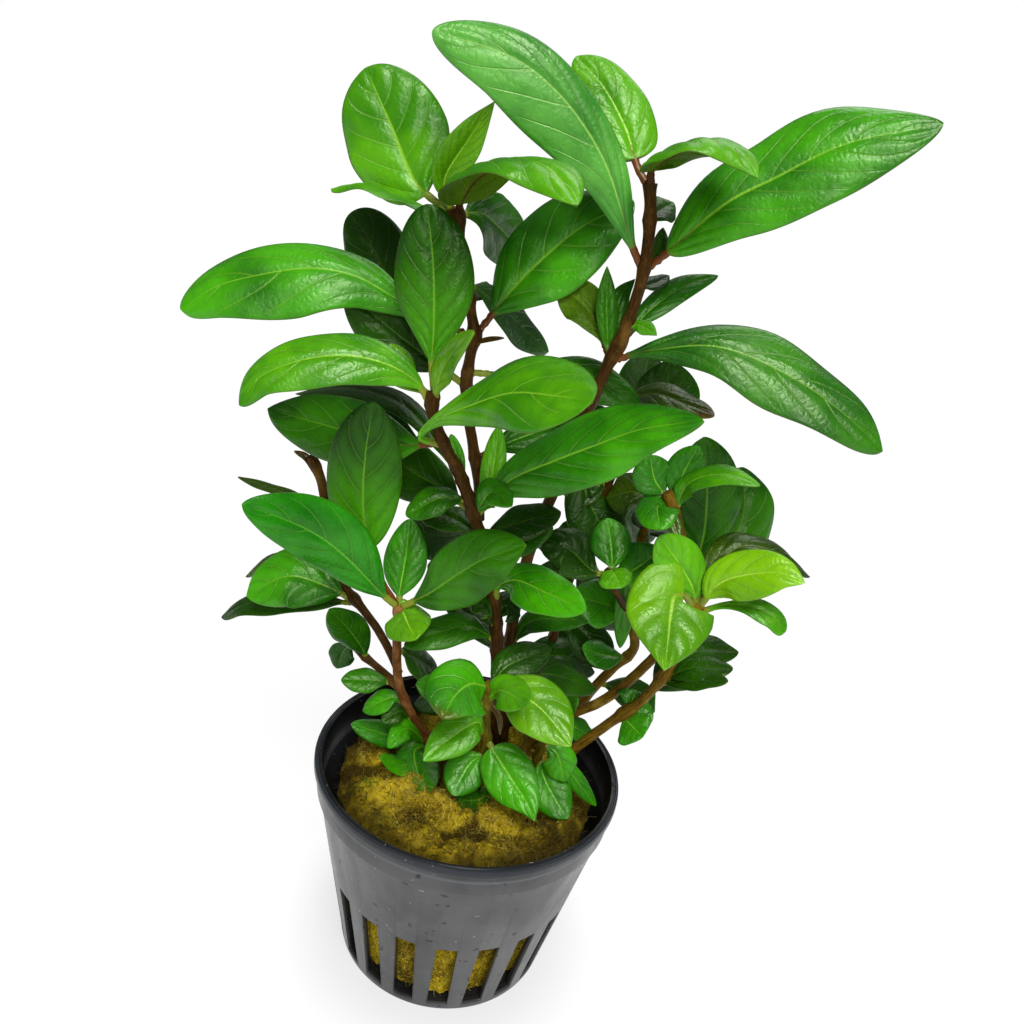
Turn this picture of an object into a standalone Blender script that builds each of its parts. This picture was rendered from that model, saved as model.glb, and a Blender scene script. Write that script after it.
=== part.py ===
"""Potted Staurogyne repens: leafy stems rooted in a fibrous plug that stands in a slotted net pot.

Metres, +Z up, origin at the middle of the pot's underside.  The viewer's side is -Y.
Stems and leaves are placed along the sight lines of one photograph: a point is given as the
pixel that it shows at, (x, y) in a 1024 x 1024 frame, and its real depth along Y in millimetres.
"""
import bpy
import bmesh
import numpy as np
from collections import namedtuple
from math import cos, log, pi, radians, sin, tan
from mathutils import Matrix

MM = 0.001
GAP = 0.3                  # clearance between touching pieces, mm

# Net pot, mm
POT_HEIGHT = 40.0
RIM_RADIUS = 27.5
LIP_RADIUS = 26.1          # inside of the rolled rim
COLLAR_RADIUS = 26.7
COLLAR_FOOT = 34.3         # height where the collar steps in to the tapered wall
STEP = 0.5
BASE_RADIUS = 19.6
WALL = 1.1
FLOOR_TOP = 1.2
SLOT_COUNT = 20
SLOT_FIRST = -85.7         # degrees from +X to the middle of one slot
SLOT_WIDTH = 3.6
SLOT_FOOT = 1.6
SLOT_TOP = 18.4
POT_SIDES = 40

# Fibrous plug, mm
PLUG_TOP = 36.6
PLUG_FOOT = 1.6
PLUG_RINGS = (8.0, 16.0, 20.0, 22.3)
PLUG_SIDES = 20
PLUG_WALL_GAP = 1.1
SOCKET_GAP = 0.35

# View of the photograph: eye in mm, angles in degrees, focal length in pixels
EYE = np.array([0.3, -134.0, 143.6])
PITCH = 22.24
ROLL = 9.51
FOCAL = 900.0
CENTRE = 512.0

# Leaf solid
LEAF_THICK = 0.55
PETIOLE = 1.1              # width of a leaf stalk, mm
BLUNT = 0.75               # 1 gives lens-shaped blades, less gives fuller ends
BLADE_ROWS = (0.22, 0.5, 0.8, 1.0)
SMALL_ROWS = (0.35, 0.7, 1.0)
STEM_SIDES = 6
UNION_SOLVER = {"tall_stem": "MANIFOLD", "right_stem_1": "MANIFOLD"}

Stem = namedtuple("Stem", "name points foot_radius top_radius parent")
Leaf = namedtuple("Leaf", "name stem seen depth width front side fold stalk peak own")


def stem(name, points, foot_radius, top_radius, parent=None):
    return Stem(name, points, foot_radius, top_radius, parent)


def leaf(name, on, seen, depth, width, front=45, side=0, fold=0, stalk=2.0, peak=0.5, own=True):
    """A leaf's midrib is seen through pixels, base first, and its tip is depth mm behind its base."""
    return Leaf(name, on, seen, depth, width, front, side, fold, stalk, peak, own)


def small(name, on, seen, depth, width, front=45, side=0, fold=0, peak=0.5):
    """A small leaf that is one piece with its stem."""
    return leaf(name, on, seen, depth, width, front, side, fold, 0, peak, own=False)


STEMS = [
    stem("tall_stem", [(501, 772, 10.5), (505, 700, 10), (513, 620, 9), (530, 550, 7), (552, 495, 5),
                       (580, 430, 3), (607, 367, 2), (623, 336, 2), (644, 270, 1), (650, 218, 1),
                       (650, 184, 1)], 1.1, 0.8),
    stem("centre_stem", [(488, 770, 4), (494, 720, 4), (497, 656, 4), (493, 592, 3), (478, 528, 0),
                         (460, 475, -2), (442, 440, -4), (432, 408, -5), (433, 392, -5)], 1.15, 0.85),
    stem("upper_stem", [(479, 520, 0.5), (479, 488, 4), (474, 452, 5), (466, 392, 6), (471, 352, 6),
                        (474, 335, 6), (467, 290, 6), (461, 250, 5), (458, 224, 4), (454, 209, 4)],
         0.9, 0.75, "centre_stem"),
    stem("front_left_stem", [(437, 777, 5), (430, 745, 5), (411, 713, 3), (399, 684, 1),
                             (397, 640, -1), (399, 606, -2)], 0.85, 0.75),
    stem("left_stem", [(399, 673, 0.5), (391, 654, 3), (378, 630, 5), (361, 607, 7), (344, 585, 9),
                       (333, 550, 10), (327, 515, 10), (321, 480, 10), (311, 456, 10)],
         0.75, 0.85, "front_left_stem"),
    stem("low_left_stem", [(401, 690, 1.3), (382, 671, 5), (364, 656, 7), (349, 640, 9), (338, 622, 11)],
         0.75, 0.6, "front_left_stem"),
    stem("right_stem_1", [(514, 780, 9), (524, 750, 9), (545, 728, 8), (568, 715, 7), (602, 701, 6),
                          (643, 668, 5), (662, 646, 5), (676, 608, 5), (683, 570, 5), (682, 538, 4),
                          (671, 503, 3), (667, 492, 3)], 1.05, 0.75),
    stem("right_stem_2", [(538, 812, 1), (550, 777, 2), (570, 753, 3), (611, 722, 2), (640, 702, 1),
                          (664, 675, 0), (685, 640, -1), (697, 605, -2)], 1.0, 0.8),
    stem("right_stem_3", [(540, 790, 10), (553, 750, 11), (573, 716, 12), (592, 690, 12),
                          (613, 668, 12), (634, 648, 12), (628, 610, 11), (634, 570, 10),
                          (645, 530, 10), (654, 497, 10)], 1.0, 0.75),
    stem("rosette_shoot", [(628, 612, 11), (619, 597, 7), (611, 580, 4), (609, 571, 3)],
         0.7, 0.6, "right_stem_3"),
    stem("back_stem", [(520, 765, 15), (543, 680, 17), (563, 600, 17), (587, 532, 16),
                       (610, 480, 15), (628, 445, 14), (634, 424, 14)], 1.0, 0.7),
    stem("front_stem", [(484, 815, -4), (484, 775, -4), (486, 735, -5), (487, 705, -6), (489, 684, -7)],
         0.85, 0.65),
    stem("low_right_stem", [(529, 822, -3), (531, 790, -3), (535, 765, -4), (543, 745, -4)], 0.7, 0.55),
]

LEAVES = [
    # Tall stem, from its top down
    leaf("tall_leaf_top_left", "tall_stem", [(648, 186), (640, 172), (634, 156), (628, 134), (618, 112),
         (603, 86), (576, 57)], 9, 9.6, front=75, side=10, stalk=4, peak=0.38),
    leaf("tall_leaf_arching", "tall_stem", [(646, 184), (652, 166), (680, 147), (715, 140), (740, 152),
         (757, 178)], -11, 12.5, front=-8, side=-22, peak=0.42),
    leaf("tall_leaf_long_left", "tall_stem", [(644, 266), (630, 240), (604, 160), (563, 98), (514, 58),
         (432, 32)], -1, 10.4, front=74, side=-6, fold=-5, stalk=3, peak=0.6),
    leaf("tall_leaf_long_right", "tall_stem", [(650, 265), (668, 252), (728, 202), (775, 178),
         (843, 145), (943, 125)], -2, 13.8, front=58, side=-14, fold=-4, stalk=3.5, peak=0.55),
    leaf("tall_leaf_low_right", "tall_stem", [(614, 357), (660, 349), (720, 347), (791, 377),
         (846, 416), (882, 452)], -9, 12, front=52, side=18, fold=-5, peak=0.55),
    leaf("tall_leaf_back_left", "tall_stem", [(609, 360), (602, 338), (586, 308), (560, 284)], 6, 6.5,
         front=-80, side=-30, peak=0.6),
    leaf("tall_leaf_small_right", "tall_stem", [(622, 345), (648, 312), (684, 286), (718, 276)], 8, 4.6,
         front=48, side=-15),
    small("bud_right", "tall_stem", [(650, 268), (660, 246), (663, 228)], 6, 2.4, front=70),
    small("bud_low", "tall_stem", [(628, 322), (640, 325), (657, 335)], -3, 2.6, front=50),
    small("leaf_behind_top", "tall_stem", [(650, 222), (660, 210), (673, 203)], 7, 5, front=60),
    small("young_pair_up", "tall_stem", [(612, 356), (607, 316), (607, 266)], 3, 3.2, front=60),
    small("young_pair_right", "tall_stem", [(617, 346), (616, 312), (622, 294), (635, 279)], 6, 3.2,
          front=60),
    # Upper stem: the shoot at the top left, and the leaves below it
    leaf("upper_leaf_broad", "upper_stem", [(456, 214), (440, 205), (416, 183), (391, 125), (366, 68)],
         6, 15.6, front=68, side=-12, stalk=5, peak=0.46),
    leaf("upper_leaf_young", "upper_stem", [(456, 210), (444, 182), (468, 140), (495, 101)], -2, 5.2,
         front=58, side=20, fold=25, peak=0.42),
    leaf("upper_leaf_arching", "upper_stem", [(459, 212), (470, 180), (500, 161), (545, 166),
         (577, 206)], -20, 14, front=-5, side=-20, peak=0.42),
    leaf("upper_leaf_level", "upper_stem", [(455, 223), (412, 201), (366, 183), (331, 190)], -4, 9.5,
         front=-20, side=-8),
    leaf("upper_leaf_behind", "upper_stem", [(462, 218), (482, 212), (512, 240), (545, 290)], 22, 8,
         front=55, side=25),
    leaf("upper_leaf_dark", "upper_stem", [(462, 300), (430, 302), (405, 296), (385, 270), (366, 234),
         (351, 213)], 12, 10.8, front=60, side=-20, stalk=5, peak=0.6),
    leaf("upper_leaf_long_left", "upper_stem", [(468, 336), (430, 318), (392, 296), (358, 277),
         (313, 268), (259, 275), (214, 288), (181, 310)], -6, 12.8, front=50, side=-4, fold=-6, stalk=3,
         peak=0.6),
    leaf("upper_leaf_long_right", "upper_stem", [(478, 333), (523, 278), (563, 241), (587, 224),
                                                 (634, 202)], 5, 14.5, front=58, side=-8, stalk=4),
    leaf("upper_leaf_under_left", "upper_stem", [(463, 385), (410, 344), (372, 313), (345, 290)], -1, 10,
         front=60, side=-20, stalk=4),
    leaf("upper_leaf_under_right", "upper_stem", [(470, 372), (520, 376), (582, 377), (612, 388),
         (640, 404)], 1, 7.5, front=50, side=12, stalk=3, peak=0.6),
    leaf("upper_leaf_shaded", "upper_stem", [(478, 458), (502, 445), (560, 424), (607, 409)], 6, 8,
         front=52, stalk=3),
    small("upper_stub", "upper_stem", [(476, 341), (490, 339), (504, 338)], -3, 1.0, front=40),
    small("upper_back_leaf", "upper_stem", [(466, 280), (474, 262), (482, 250)], 16, 9, front=0),
    small("upper_back_low", "upper_stem", [(466, 284), (498, 303), (535, 335), (581, 350)], 18, 6.5,
          front=35),
    # Centre stem
    leaf("centre_leaf_upright", "centre_stem", [(433, 398), (432, 362), (434, 320), (433, 260),
         (427, 204)], 4, 11.6, front=80, stalk=5, peak=0.52),
    leaf("centre_leaf_left", "centre_stem", [(431, 404), (418, 384), (396, 368), (360, 357), (325, 356),
         (288, 364), (258, 379), (240, 406)], -7, 9.2, front=45, side=-8, fold=-6, stalk=3),
    leaf("centre_leaf_near", "centre_stem", [(438, 444), (424, 432), (436, 420), (463, 406), (503, 391),
         (543, 382), (592, 400)], -22, 14.4, front=46, side=5, fold=-6, stalk=2, peak=0.66),
    leaf("centre_leaf_low_left", "centre_stem", [(440, 445), (400, 445), (343, 430), (268, 409)], 18,
         11.4, front=60, side=-10, stalk=4),
    leaf("centre_leaf_dark_left", "centre_stem", [(474, 512), (441, 488), (399, 460), (384, 405)], 16, 10,
         front=60, side=-5, stalk=3),
    leaf("centre_leaf_broad_right", "centre_stem", [(480, 512), (509, 481), (554, 461), (596, 445),
         (639, 430), (704, 421)], -14, 11.6, front=50, side=-12, fold=-3, stalk=4),
    small("centre_leaf_dark_right", "centre_stem", [(484, 538), (520, 522), (561, 512)], 2, 7,
          front=30),
    small("young_left", "centre_stem", [(430, 398), (404, 376), (390, 344)], 6, 3.2, front=55, peak=0.65),
    small("young_right", "centre_stem", [(434, 397), (440, 370), (453, 352), (474, 333)], -12, 4,
          front=50),
    small("young_upright", "centre_stem", [(484, 512), (489, 488), (499, 426)], 5, 4.0, front=70),
    small("young_front", "centre_stem", [(482, 510), (492, 492), (512, 506)], -6, 5, front=50),
    small("bud_by_stem", "centre_stem", [(462, 482), (459, 466), (451, 434)], 2, 2.4, front=70),
    small("small_left", "centre_stem", [(466, 500), (440, 498), (406, 516)], -3, 5.5, front=35),
    small("dark_low_left", "centre_stem", [(482, 535), (452, 518), (419, 508)], 6, 7, front=20),
    small("green_low_right", "centre_stem", [(488, 560), (516, 543), (553, 527)], 1, 5.5, front=35),
    small("dark_left_hidden", "centre_stem", [(457, 468), (405, 406), (350, 388), (296, 394)], 26, 6,
          front=20),
    # Front left stem: a rosette of two pairs
    leaf("front_left_leaf_long", "front_left_stem", [(396, 606), (383, 595), (350, 561), (326, 541),
         (302, 527), (270, 514), (242, 505)], -14, 10.2, front=60, side=-8, stalk=3),
    leaf("front_left_leaf_upright", "front_left_stem", [(397, 605), (390, 578), (369, 538), (363, 500),
         (366, 450), (374, 402)], 0, 12, front=76, stalk=11),
    leaf("front_left_leaf_right", "front_left_stem", [(402, 603), (428, 594), (458, 574), (482, 560),
         (526, 545)], -9, 11, front=50, stalk=3),
    leaf("front_left_leaf_young", "front_left_stem", [(399, 606), (400, 590), (406, 555), (410, 519)],
         5, 7.2, front=74, stalk=1.5, peak=0.45),
    small("rosette_bright", "front_left_stem", [(398, 617), (402, 619), (408, 629), (416, 642)], -6,
          6.8, front=60, side=10),
    small("low_bright_left", "front_left_stem", [(424, 738), (400, 738), (375, 731), (351, 724)], -3,
          4.8, front=40),
    small("low_pair_left", "front_left_stem", [(425, 740), (406, 728), (388, 748)], -8, 4.2, front=40),
    small("low_round", "front_left_stem", [(430, 744), (417, 751), (419, 769), (429, 790)], -12, 7.4,
          front=20),
    small("small_dark_side", "front_left_stem", [(405, 700), (393, 697), (363, 711)], -1, 4.5, front=30),
    # Left stem, trimmed at its top
    leaf("left_leaf_upper", "left_stem", [(352, 598), (330, 588), (290, 576), (247, 595)], -2, 11.5,
         front=42, side=-8),
    leaf("left_leaf_lower", "left_stem", [(354, 602), (330, 601), (280, 599), (242, 605), (222, 618)],
         3, 7, front=20, side=-8),
    small("cut_spur", "left_stem", [(316, 465), (306, 457), (294, 451)], 0, 1.2, front=40),
    small("narrow_strip", "left_stem", [(326, 508), (290, 494), (238, 477)], 8, 3, front=10),
    small("low_left_dark", "low_left_stem", [(366, 658), (360, 645), (345, 625), (329, 610)], -8, 6.5,
          front=65),
    small("low_left_tip", "low_left_stem", [(352, 642), (342, 652), (335, 668)], 4, 5, front=40),
    small("low_left_over_rim", "low_left_stem", [(392, 680), (372, 680), (341, 680)], -2, 5, front=30),
    # Right stems
    small("right_leaf_broad", "right_stem_1", [(674, 514), (657, 508), (660, 528)], -7, 5.5,
          front=35, side=-20),
    small("right_leaf_arching", "right_stem_1", [(672, 508), (690, 482), (725, 474), (760, 486)], -8, 5,
          front=30),
    leaf("right_leaf_dark", "right_stem_1", [(684, 575), (700, 550), (707, 500), (704, 437)], 2, 12,
         front=72, side=5, stalk=4),
    leaf("right_leaf_dark_outer", "right_stem_1", [(682, 582), (725, 552), (743, 515), (742, 467)], 9,
         13, front=70, side=15, stalk=4),
    small("right_young", "right_stem_1", [(667, 496), (667, 480), (675, 452)], 1, 4, front=65),
    small("right_young_tip", "right_stem_1", [(669, 501), (684, 472), (701, 452)], -2, 4, front=45),
    leaf("right_leaf_olive", "right_stem_2", [(697, 606), (716, 566), (742, 546), (775, 551),
         (809, 577)], 6, 7.5, front=10, side=20),
    leaf("right_leaf_bright", "right_stem_2", [(700, 602), (722, 582), (761, 573), (785, 574),
         (805, 583)], -6, 8.2, front=50),
    leaf("right_leaf_up", "right_stem_2", [(695, 610), (694, 592), (680, 565), (659, 536)], 0, 8.5,
         front=60),
    leaf("right_leaf_notched", "right_stem_2", [(698, 612), (725, 605), (752, 607), (772, 616),
         (785, 632)], -3, 4.8, front=30, side=10, peak=0.7),
    leaf("right_leaf_hanging", "right_stem_2", [(693, 612), (688, 600), (675, 594), (668, 610),
         (665, 640), (663, 671)], -14, 13, front=60, stalk=5, peak=0.36),
    small("right_leaf_dark_low", "right_stem_2", [(662, 677), (690, 668), (733, 669)], -2, 6, front=20),
    small("dark_tip_upper", "right_stem_2", [(664, 672), (700, 650), (738, 652)], 5, 6, front=30),
    small("dark_tip_lower", "right_stem_2", [(660, 680), (695, 680), (728, 681)], -6, 4.6, front=20),
    small("pair_low_a", "right_stem_2", [(622, 715), (630, 724), (643, 732)], -4, 6.5, front=60),
    small("pair_low_b", "right_stem_2", [(626, 712), (636, 716), (651, 722)], -1, 4, front=40),
    small("pair_low_c", "right_stem_2", [(630, 710), (632, 702), (636, 694)], 2, 4, front=60),
    # Rosette behind the hanging leaf, and the stem that it grows from
    leaf("rosette_leaf_left", "rosette_shoot", [(611, 576), (592, 570), (566, 548), (541, 549)], 0, 9,
         front=40, side=-10),
    small("rosette_leaf_upright", "rosette_shoot", [(610, 572), (612, 566), (611, 545), (608, 525)], 6,
          4.6, front=76),
    small("rosette_leaf_front", "rosette_shoot", [(609, 575), (612, 571), (622, 588)], -4, 6, front=50),
    small("rosette_leaf_right", "rosette_shoot", [(613, 578), (626, 570), (660, 559)], 1, 7, front=45),
    small("hidden_olive", "right_stem_3", [(652, 505), (636, 495), (606, 505)], 4, 7, front=20),
    small("green_left_low", "right_stem_3", [(628, 660), (605, 655), (582, 648)], -3, 6, front=30),
    small("green_left_mid", "right_stem_3", [(628, 612), (605, 606), (575, 602)], -2, 8, front=40),
    small("back_right_leaf", "right_stem_3", [(645, 535), (660, 520), (672, 510)], 14, 10, front=10),
    # Back stem, mostly hidden
    leaf("back_leaf_round", "back_stem", [(634, 428), (648, 430), (664, 404), (670, 361)], 2, 11.5,
         front=62, stalk=3, peak=0.48),
    leaf("back_leaf_brown_tip", "back_stem", [(634, 428), (632, 402), (655, 393), (685, 404),
         (714, 416)], -14, 6.5, front=40, side=10, stalk=3),
    small("back_leaf_low", "back_stem", [(605, 490), (590, 465), (580, 440)], 12, 9, front=10),
    small("back_leaf_droop", "back_stem", [(606, 488), (590, 492), (601, 524), (619, 563)], -4, 8,
          front=50),
    small("back_leaf_high", "back_stem", [(634, 426), (640, 395), (650, 350)], 14, 9, front=30),
    small("back_leaf_side", "back_stem", [(575, 565), (560, 545), (548, 535)], 14, 9, front=10),
    # Leaves low in the middle
    leaf("middle_leaf_right", "centre_stem", [(494, 600), (498, 587), (515, 580), (545, 592),
         (585, 611)], -13, 8.2, front=50, side=10, stalk=3),
    small("middle_under", "tall_stem", [(510, 640), (530, 621), (560, 619), (588, 622)], -4, 5.6,
          front=25),
    small("middle_dark", "centre_stem", [(494, 622), (486, 604), (472, 612)], -5, 5, front=30),
    small("middle_dark_left", "centre_stem", [(497, 640), (470, 626), (440, 632), (404, 646)], -6, 6.5,
          front=30),
    small("middle_back", "centre_stem", [(496, 650), (465, 612), (445, 596)], 10, 6, front=20),
    leaf("front_leaf_bright_right", "front_stem", [(488, 697), (506, 688), (540, 708), (570, 746)],
         -9, 9.5, front=45, side=12, stalk=3),
    leaf("front_leaf_glossy", "front_stem", [(486, 743), (497, 757), (512, 780), (526, 803),
         (535, 822)], -10, 7.8, front=50, side=-5, stalk=1.5, peak=0.46),
    small("front_leaf_low_left", "front_stem", [(486, 735), (478, 722), (452, 737), (423, 763)], -8, 6,
          front=45, side=-10),
    small("front_leaf_down", "front_stem", [(488, 694), (460, 670), (442, 718)], -9, 6, front=45),
    small("front_leaf_top", "front_stem", [(489, 688), (505, 668), (551, 648)], 7, 6.5, front=35),
    small("front_leaf_side", "front_stem", [(488, 702), (455, 692), (416, 684)], -4, 6.5, front=35),
    small("front_leaf_under", "front_stem", [(485, 760), (469, 770), (453, 793)], -6, 5.4, front=45),
    small("front_leaf_flat", "front_stem", [(486, 785), (477, 796), (461, 798)], -7, 3.6, front=55),
    small("front_leaf_back", "front_stem", [(488, 708), (540, 674), (596, 690)], 9, 7, front=30),
    small("low_right_leaf_a", "low_right_stem", [(537, 762), (548, 782), (566, 818)], -5, 5.5, front=50),
    small("low_right_leaf_b", "low_right_stem", [(541, 750), (552, 760), (561, 783)], -2, 5, front=50),
    small("low_right_leaf_c", "low_right_stem", [(542, 748), (566, 768), (596, 806)], -1, 3.2, front=45),
    small("pot_edge_right", "right_stem_1", [(560, 718), (575, 727), (594, 738)], 1, 5, front=30),
    small("pot_edge_green", "right_stem_1", [(562, 716), (566, 706), (578, 697)], -3, 4, front=40),
]

COLOURS = {
    "net_pot": ((0.035, 0.036, 0.039), 0.42),
    "plug": ((0.16, 0.115, 0.03), 0.95),
    "stem": ((0.19, 0.085, 0.035), 0.45),
    "leaf": ((0.07, 0.24, 0.025), 0.30),
}


# Sight lines

def view_axes():
    """Right, up and forward of the photograph's view."""
    pitch, roll = radians(PITCH), radians(ROLL)
    forward = np.array([0, cos(pitch), -sin(pitch)])
    level = np.array([1.0, 0, 0])
    rise = np.array([0, sin(pitch), cos(pitch)])
    right = cos(roll) * level + sin(roll) * rise
    up = -sin(roll) * level + cos(roll) * rise
    return right, up, forward


def seen_at(x, y, depth):
    """Point in mm that shows at pixel (x, y) and lies in the plane Y = depth."""
    right, up, forward = view_axes()
    ray = forward + (x - CENTRE) / FOCAL * right - (y - CENTRE) / FOCAL * up
    return EYE + ray * (depth - EYE[1]) / ray[1]


def shows_at(point):
    """Pixel at which a point in mm shows."""
    right, up, forward = view_axes()
    ray = np.asarray(point) - EYE
    away = ray @ forward
    return np.array([CENTRE + FOCAL * (ray @ right) / away, CENTRE - FOCAL * (ray @ up) / away])


def unit(vector):
    return vector / np.linalg.norm(vector)


def smooth_line(points, count):
    """Points evenly spaced along a smooth curve through the given ones (centripetal Catmull-Rom)."""
    points = np.asarray(points, float)
    ends = [2 * points[0] - points[1]], [2 * points[-1] - points[-2]]
    knots = np.vstack([ends[0], points, ends[1]])
    dense = []
    for a, b, c, d in zip(knots[:-3], knots[1:-2], knots[2:-1], knots[3:]):
        times = np.cumsum([0.0] + [np.linalg.norm(q - p) ** 0.5 for p, q in ((a, b), (b, c), (c, d))])
        for t in np.linspace(times[1], times[2], 12, endpoint=False):
            ab = (times[1] - t) / times[1] * a + t / times[1] * b
            bc = ((times[2] - t) * b + (t - times[1]) * c) / (times[2] - times[1])
            cd = ((times[3] - t) * c + (t - times[2]) * d) / (times[3] - times[2])
            low = ((times[2] - t) * ab + t * bc) / times[2]
            high = ((times[3] - t) * bc + (t - times[1]) * cd) / (times[3] - times[1])
            dense.append(((times[2] - t) * low + (t - times[1]) * high) / (times[2] - times[1]))
    dense.append(points[-1])
    dense = np.array(dense)
    run = np.concatenate([[0], np.cumsum(np.linalg.norm(np.diff(dense, axis=0), axis=1))])
    wanted = np.linspace(0, run[-1], count)
    return np.stack([np.interp(wanted, run, dense[:, axis]) for axis in range(3)], axis=1)


# Stems and leaves as lines

def stem_line(entry, spacing=6.5):
    """Centreline of a stem in mm, foot first."""
    points = [seen_at(*point) for point in entry.points]
    length = sum(np.linalg.norm(b - a) for a, b in zip(points, points[1:]))
    return smooth_line(points, max(4, round(length / spacing) + 1))


def stem_radius(entry, share):
    return entry.foot_radius + (entry.top_radius - entry.foot_radius) * share


def where_on_stem(entry, pixel):
    """Nearest point of a stem to a pixel: the point, the stem's direction there and its radius."""
    line = smooth_line(stem_line(entry), 120)
    away = [np.linalg.norm(shows_at(point) - np.asarray(pixel)) for point in line]
    index = int(np.argmin(away))
    along = unit(line[min(index + 1, len(line) - 1)] - line[max(index - 1, 0)])
    return line[index], along, stem_radius(entry, index / (len(line) - 1))


def midrib(entry, stems):
    """Midrib of a leaf in mm as a fine line, from its foot at the stem's surface to its tip."""
    foot, along, radius = where_on_stem(stems[entry.stem], entry.seen[0])
    pixels = np.array(entry.seen, float)
    run = np.concatenate([[0], np.cumsum(np.linalg.norm(np.diff(pixels, axis=0), axis=1))])
    points = [foot]
    for (x, y), share in zip(pixels[1:], run[1:] / run[-1]):
        points.append(seen_at(x, y, foot[1] + entry.depth * share))
    outward = points[1] - foot
    outward = unit(outward - outward @ along * along)
    if entry.own:
        points[0] = foot + outward * (radius + GAP + 0.5 * PETIOLE)
    return smooth_line(points, 61)


def half_width(entry, share):
    """Half of a leaf's width at a share of its blade's length."""
    power = log(0.5) / log(entry.peak)
    return max(0.5 * PETIOLE - 0.3 * share, 0.5 * entry.width * sin(pi * share ** power) ** BLUNT)


def leaf_frames(entry, line):
    """Width direction and upper normal at each point of a midrib."""
    lean = np.array([sin(radians(entry.side)), -sin(radians(entry.front)), cos(radians(entry.front))])
    frames = []
    for index in range(len(line)):
        along = unit(line[min(index + 1, len(line) - 1)] - line[max(index - 1, 0)])
        normal = unit(lean - lean @ along * along)
        frames.append((np.cross(along, normal), normal))
    return frames


# Mesh helpers

def new_object(name, mesh, collection, surface):
    obj = bpy.data.objects.new(name, mesh)
    collection.objects.link(obj)
    colour, roughness = COLOURS[surface]
    material = bpy.data.materials.new(name + "_" + surface)
    material.use_nodes = True
    shader = material.node_tree.nodes["Principled BSDF"]
    shader.inputs["Base Color"].default_value = (*colour, 1.0)
    shader.inputs["Roughness"].default_value = roughness
    mesh.materials.append(material)
    return obj


def evaluated_mesh(obj):
    """Plain mesh of an object with its modifiers applied and its loose caps welded."""
    bpy.context.view_layer.update()
    mesh = bpy.data.meshes.new_from_object(obj.evaluated_get(bpy.context.evaluated_depsgraph_get()))
    work = bmesh.new()
    work.from_mesh(mesh)
    bmesh.ops.remove_doubles(work, verts=work.verts, dist=1e-6)
    bmesh.ops.recalc_face_normals(work, faces=work.faces)
    work.to_mesh(mesh)
    work.free()
    return mesh


def boolean(obj, cutter, operation, solver="EXACT"):
    modifier = obj.modifiers.new(operation.title(), "BOOLEAN")
    modifier.operation = operation
    modifier.solver = solver
    modifier.object = cutter
    return modifier


def hide_tool(obj):
    obj.hide_render = True
    obj.display_type = "WIRE"


# Pot

def build_pot(collection, tools):
    """Turned wall and floor, cut by a ring of upright slots."""
    wall_top = COLLAR_RADIUS - STEP
    profile = [(0, 0), (BASE_RADIUS - 0.3, 0), (wall_top, COLLAR_FOOT - 0.4),
               (COLLAR_RADIUS, COLLAR_FOOT), (COLLAR_RADIUS + 0.25, POT_HEIGHT - 1.6),
               (RIM_RADIUS, POT_HEIGHT - 1.3), (RIM_RADIUS, POT_HEIGHT - 0.3),
               (RIM_RADIUS - 0.3, POT_HEIGHT), (LIP_RADIUS, POT_HEIGHT),
               (wall_top - WALL, COLLAR_FOOT - 0.8), (BASE_RADIUS - WALL, FLOOR_TOP), (0, FLOOR_TOP)]
    mesh = bpy.data.meshes.new("net_pot_profile")
    points = [(radius * MM, 0, height * MM) for radius, height in reversed(profile)]
    mesh.from_pydata(points, [(i, i + 1) for i in range(len(points) - 1)], [])
    pot = new_object("net_pot", mesh, collection, "net_pot")
    turn = pot.modifiers.new("Turn", "SCREW")
    turn.angle = 2 * pi
    turn.steps = turn.render_steps = POT_SIDES
    turn.use_merge_vertices = True
    turn.merge_threshold = 0.00001
    for index in range(SLOT_COUNT):
        boolean(pot, slot_cutter(index, tools), "DIFFERENCE")
    return pot


def slot_cutter(index, tools):
    """A box through the wall, leaning with it."""
    angle = radians(SLOT_FIRST) + 2 * pi * index / SLOT_COUNT
    work = bmesh.new()
    bmesh.ops.create_cube(work, size=1)
    mesh = bpy.data.meshes.new("slot")
    work.to_mesh(mesh)
    work.free()
    cutter = bpy.data.objects.new(f"slot_{index:02d}", mesh)
    tools.objects.link(cutter)
    height = SLOT_TOP - SLOT_FOOT
    middle = 0.5 * (SLOT_TOP + SLOT_FOOT)
    radius = BASE_RADIUS + (COLLAR_RADIUS - STEP - BASE_RADIUS) * middle / COLLAR_FOOT
    mesh.transform(Matrix.Diagonal((6.0 * MM, SLOT_WIDTH * MM, height * MM, 1)))
    cutter.location = (radius * cos(angle) * MM, radius * sin(angle) * MM, middle * MM)
    cutter.rotation_euler = (0, 0, angle)
    hide_tool(cutter)
    return cutter


# Plug

def plug_height(x, y):
    """Top of the plug in mm: a low mound with lumps, higher towards its middle."""
    spread = (x * x + y * y) / 22.0 ** 2
    lumps = 0.5 * sin(0.55 * x + 0.4) * cos(0.48 * y) + 0.35 * sin(0.9 * y - 0.5 * x)
    return PLUG_TOP + lumps - 1.4 * spread


def plug_rim(angle):
    """Uneven outer radius of the plug, as a share."""
    return 1 + 0.018 * sin(3 * angle + 1) + 0.012 * sin(7 * angle)


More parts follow.
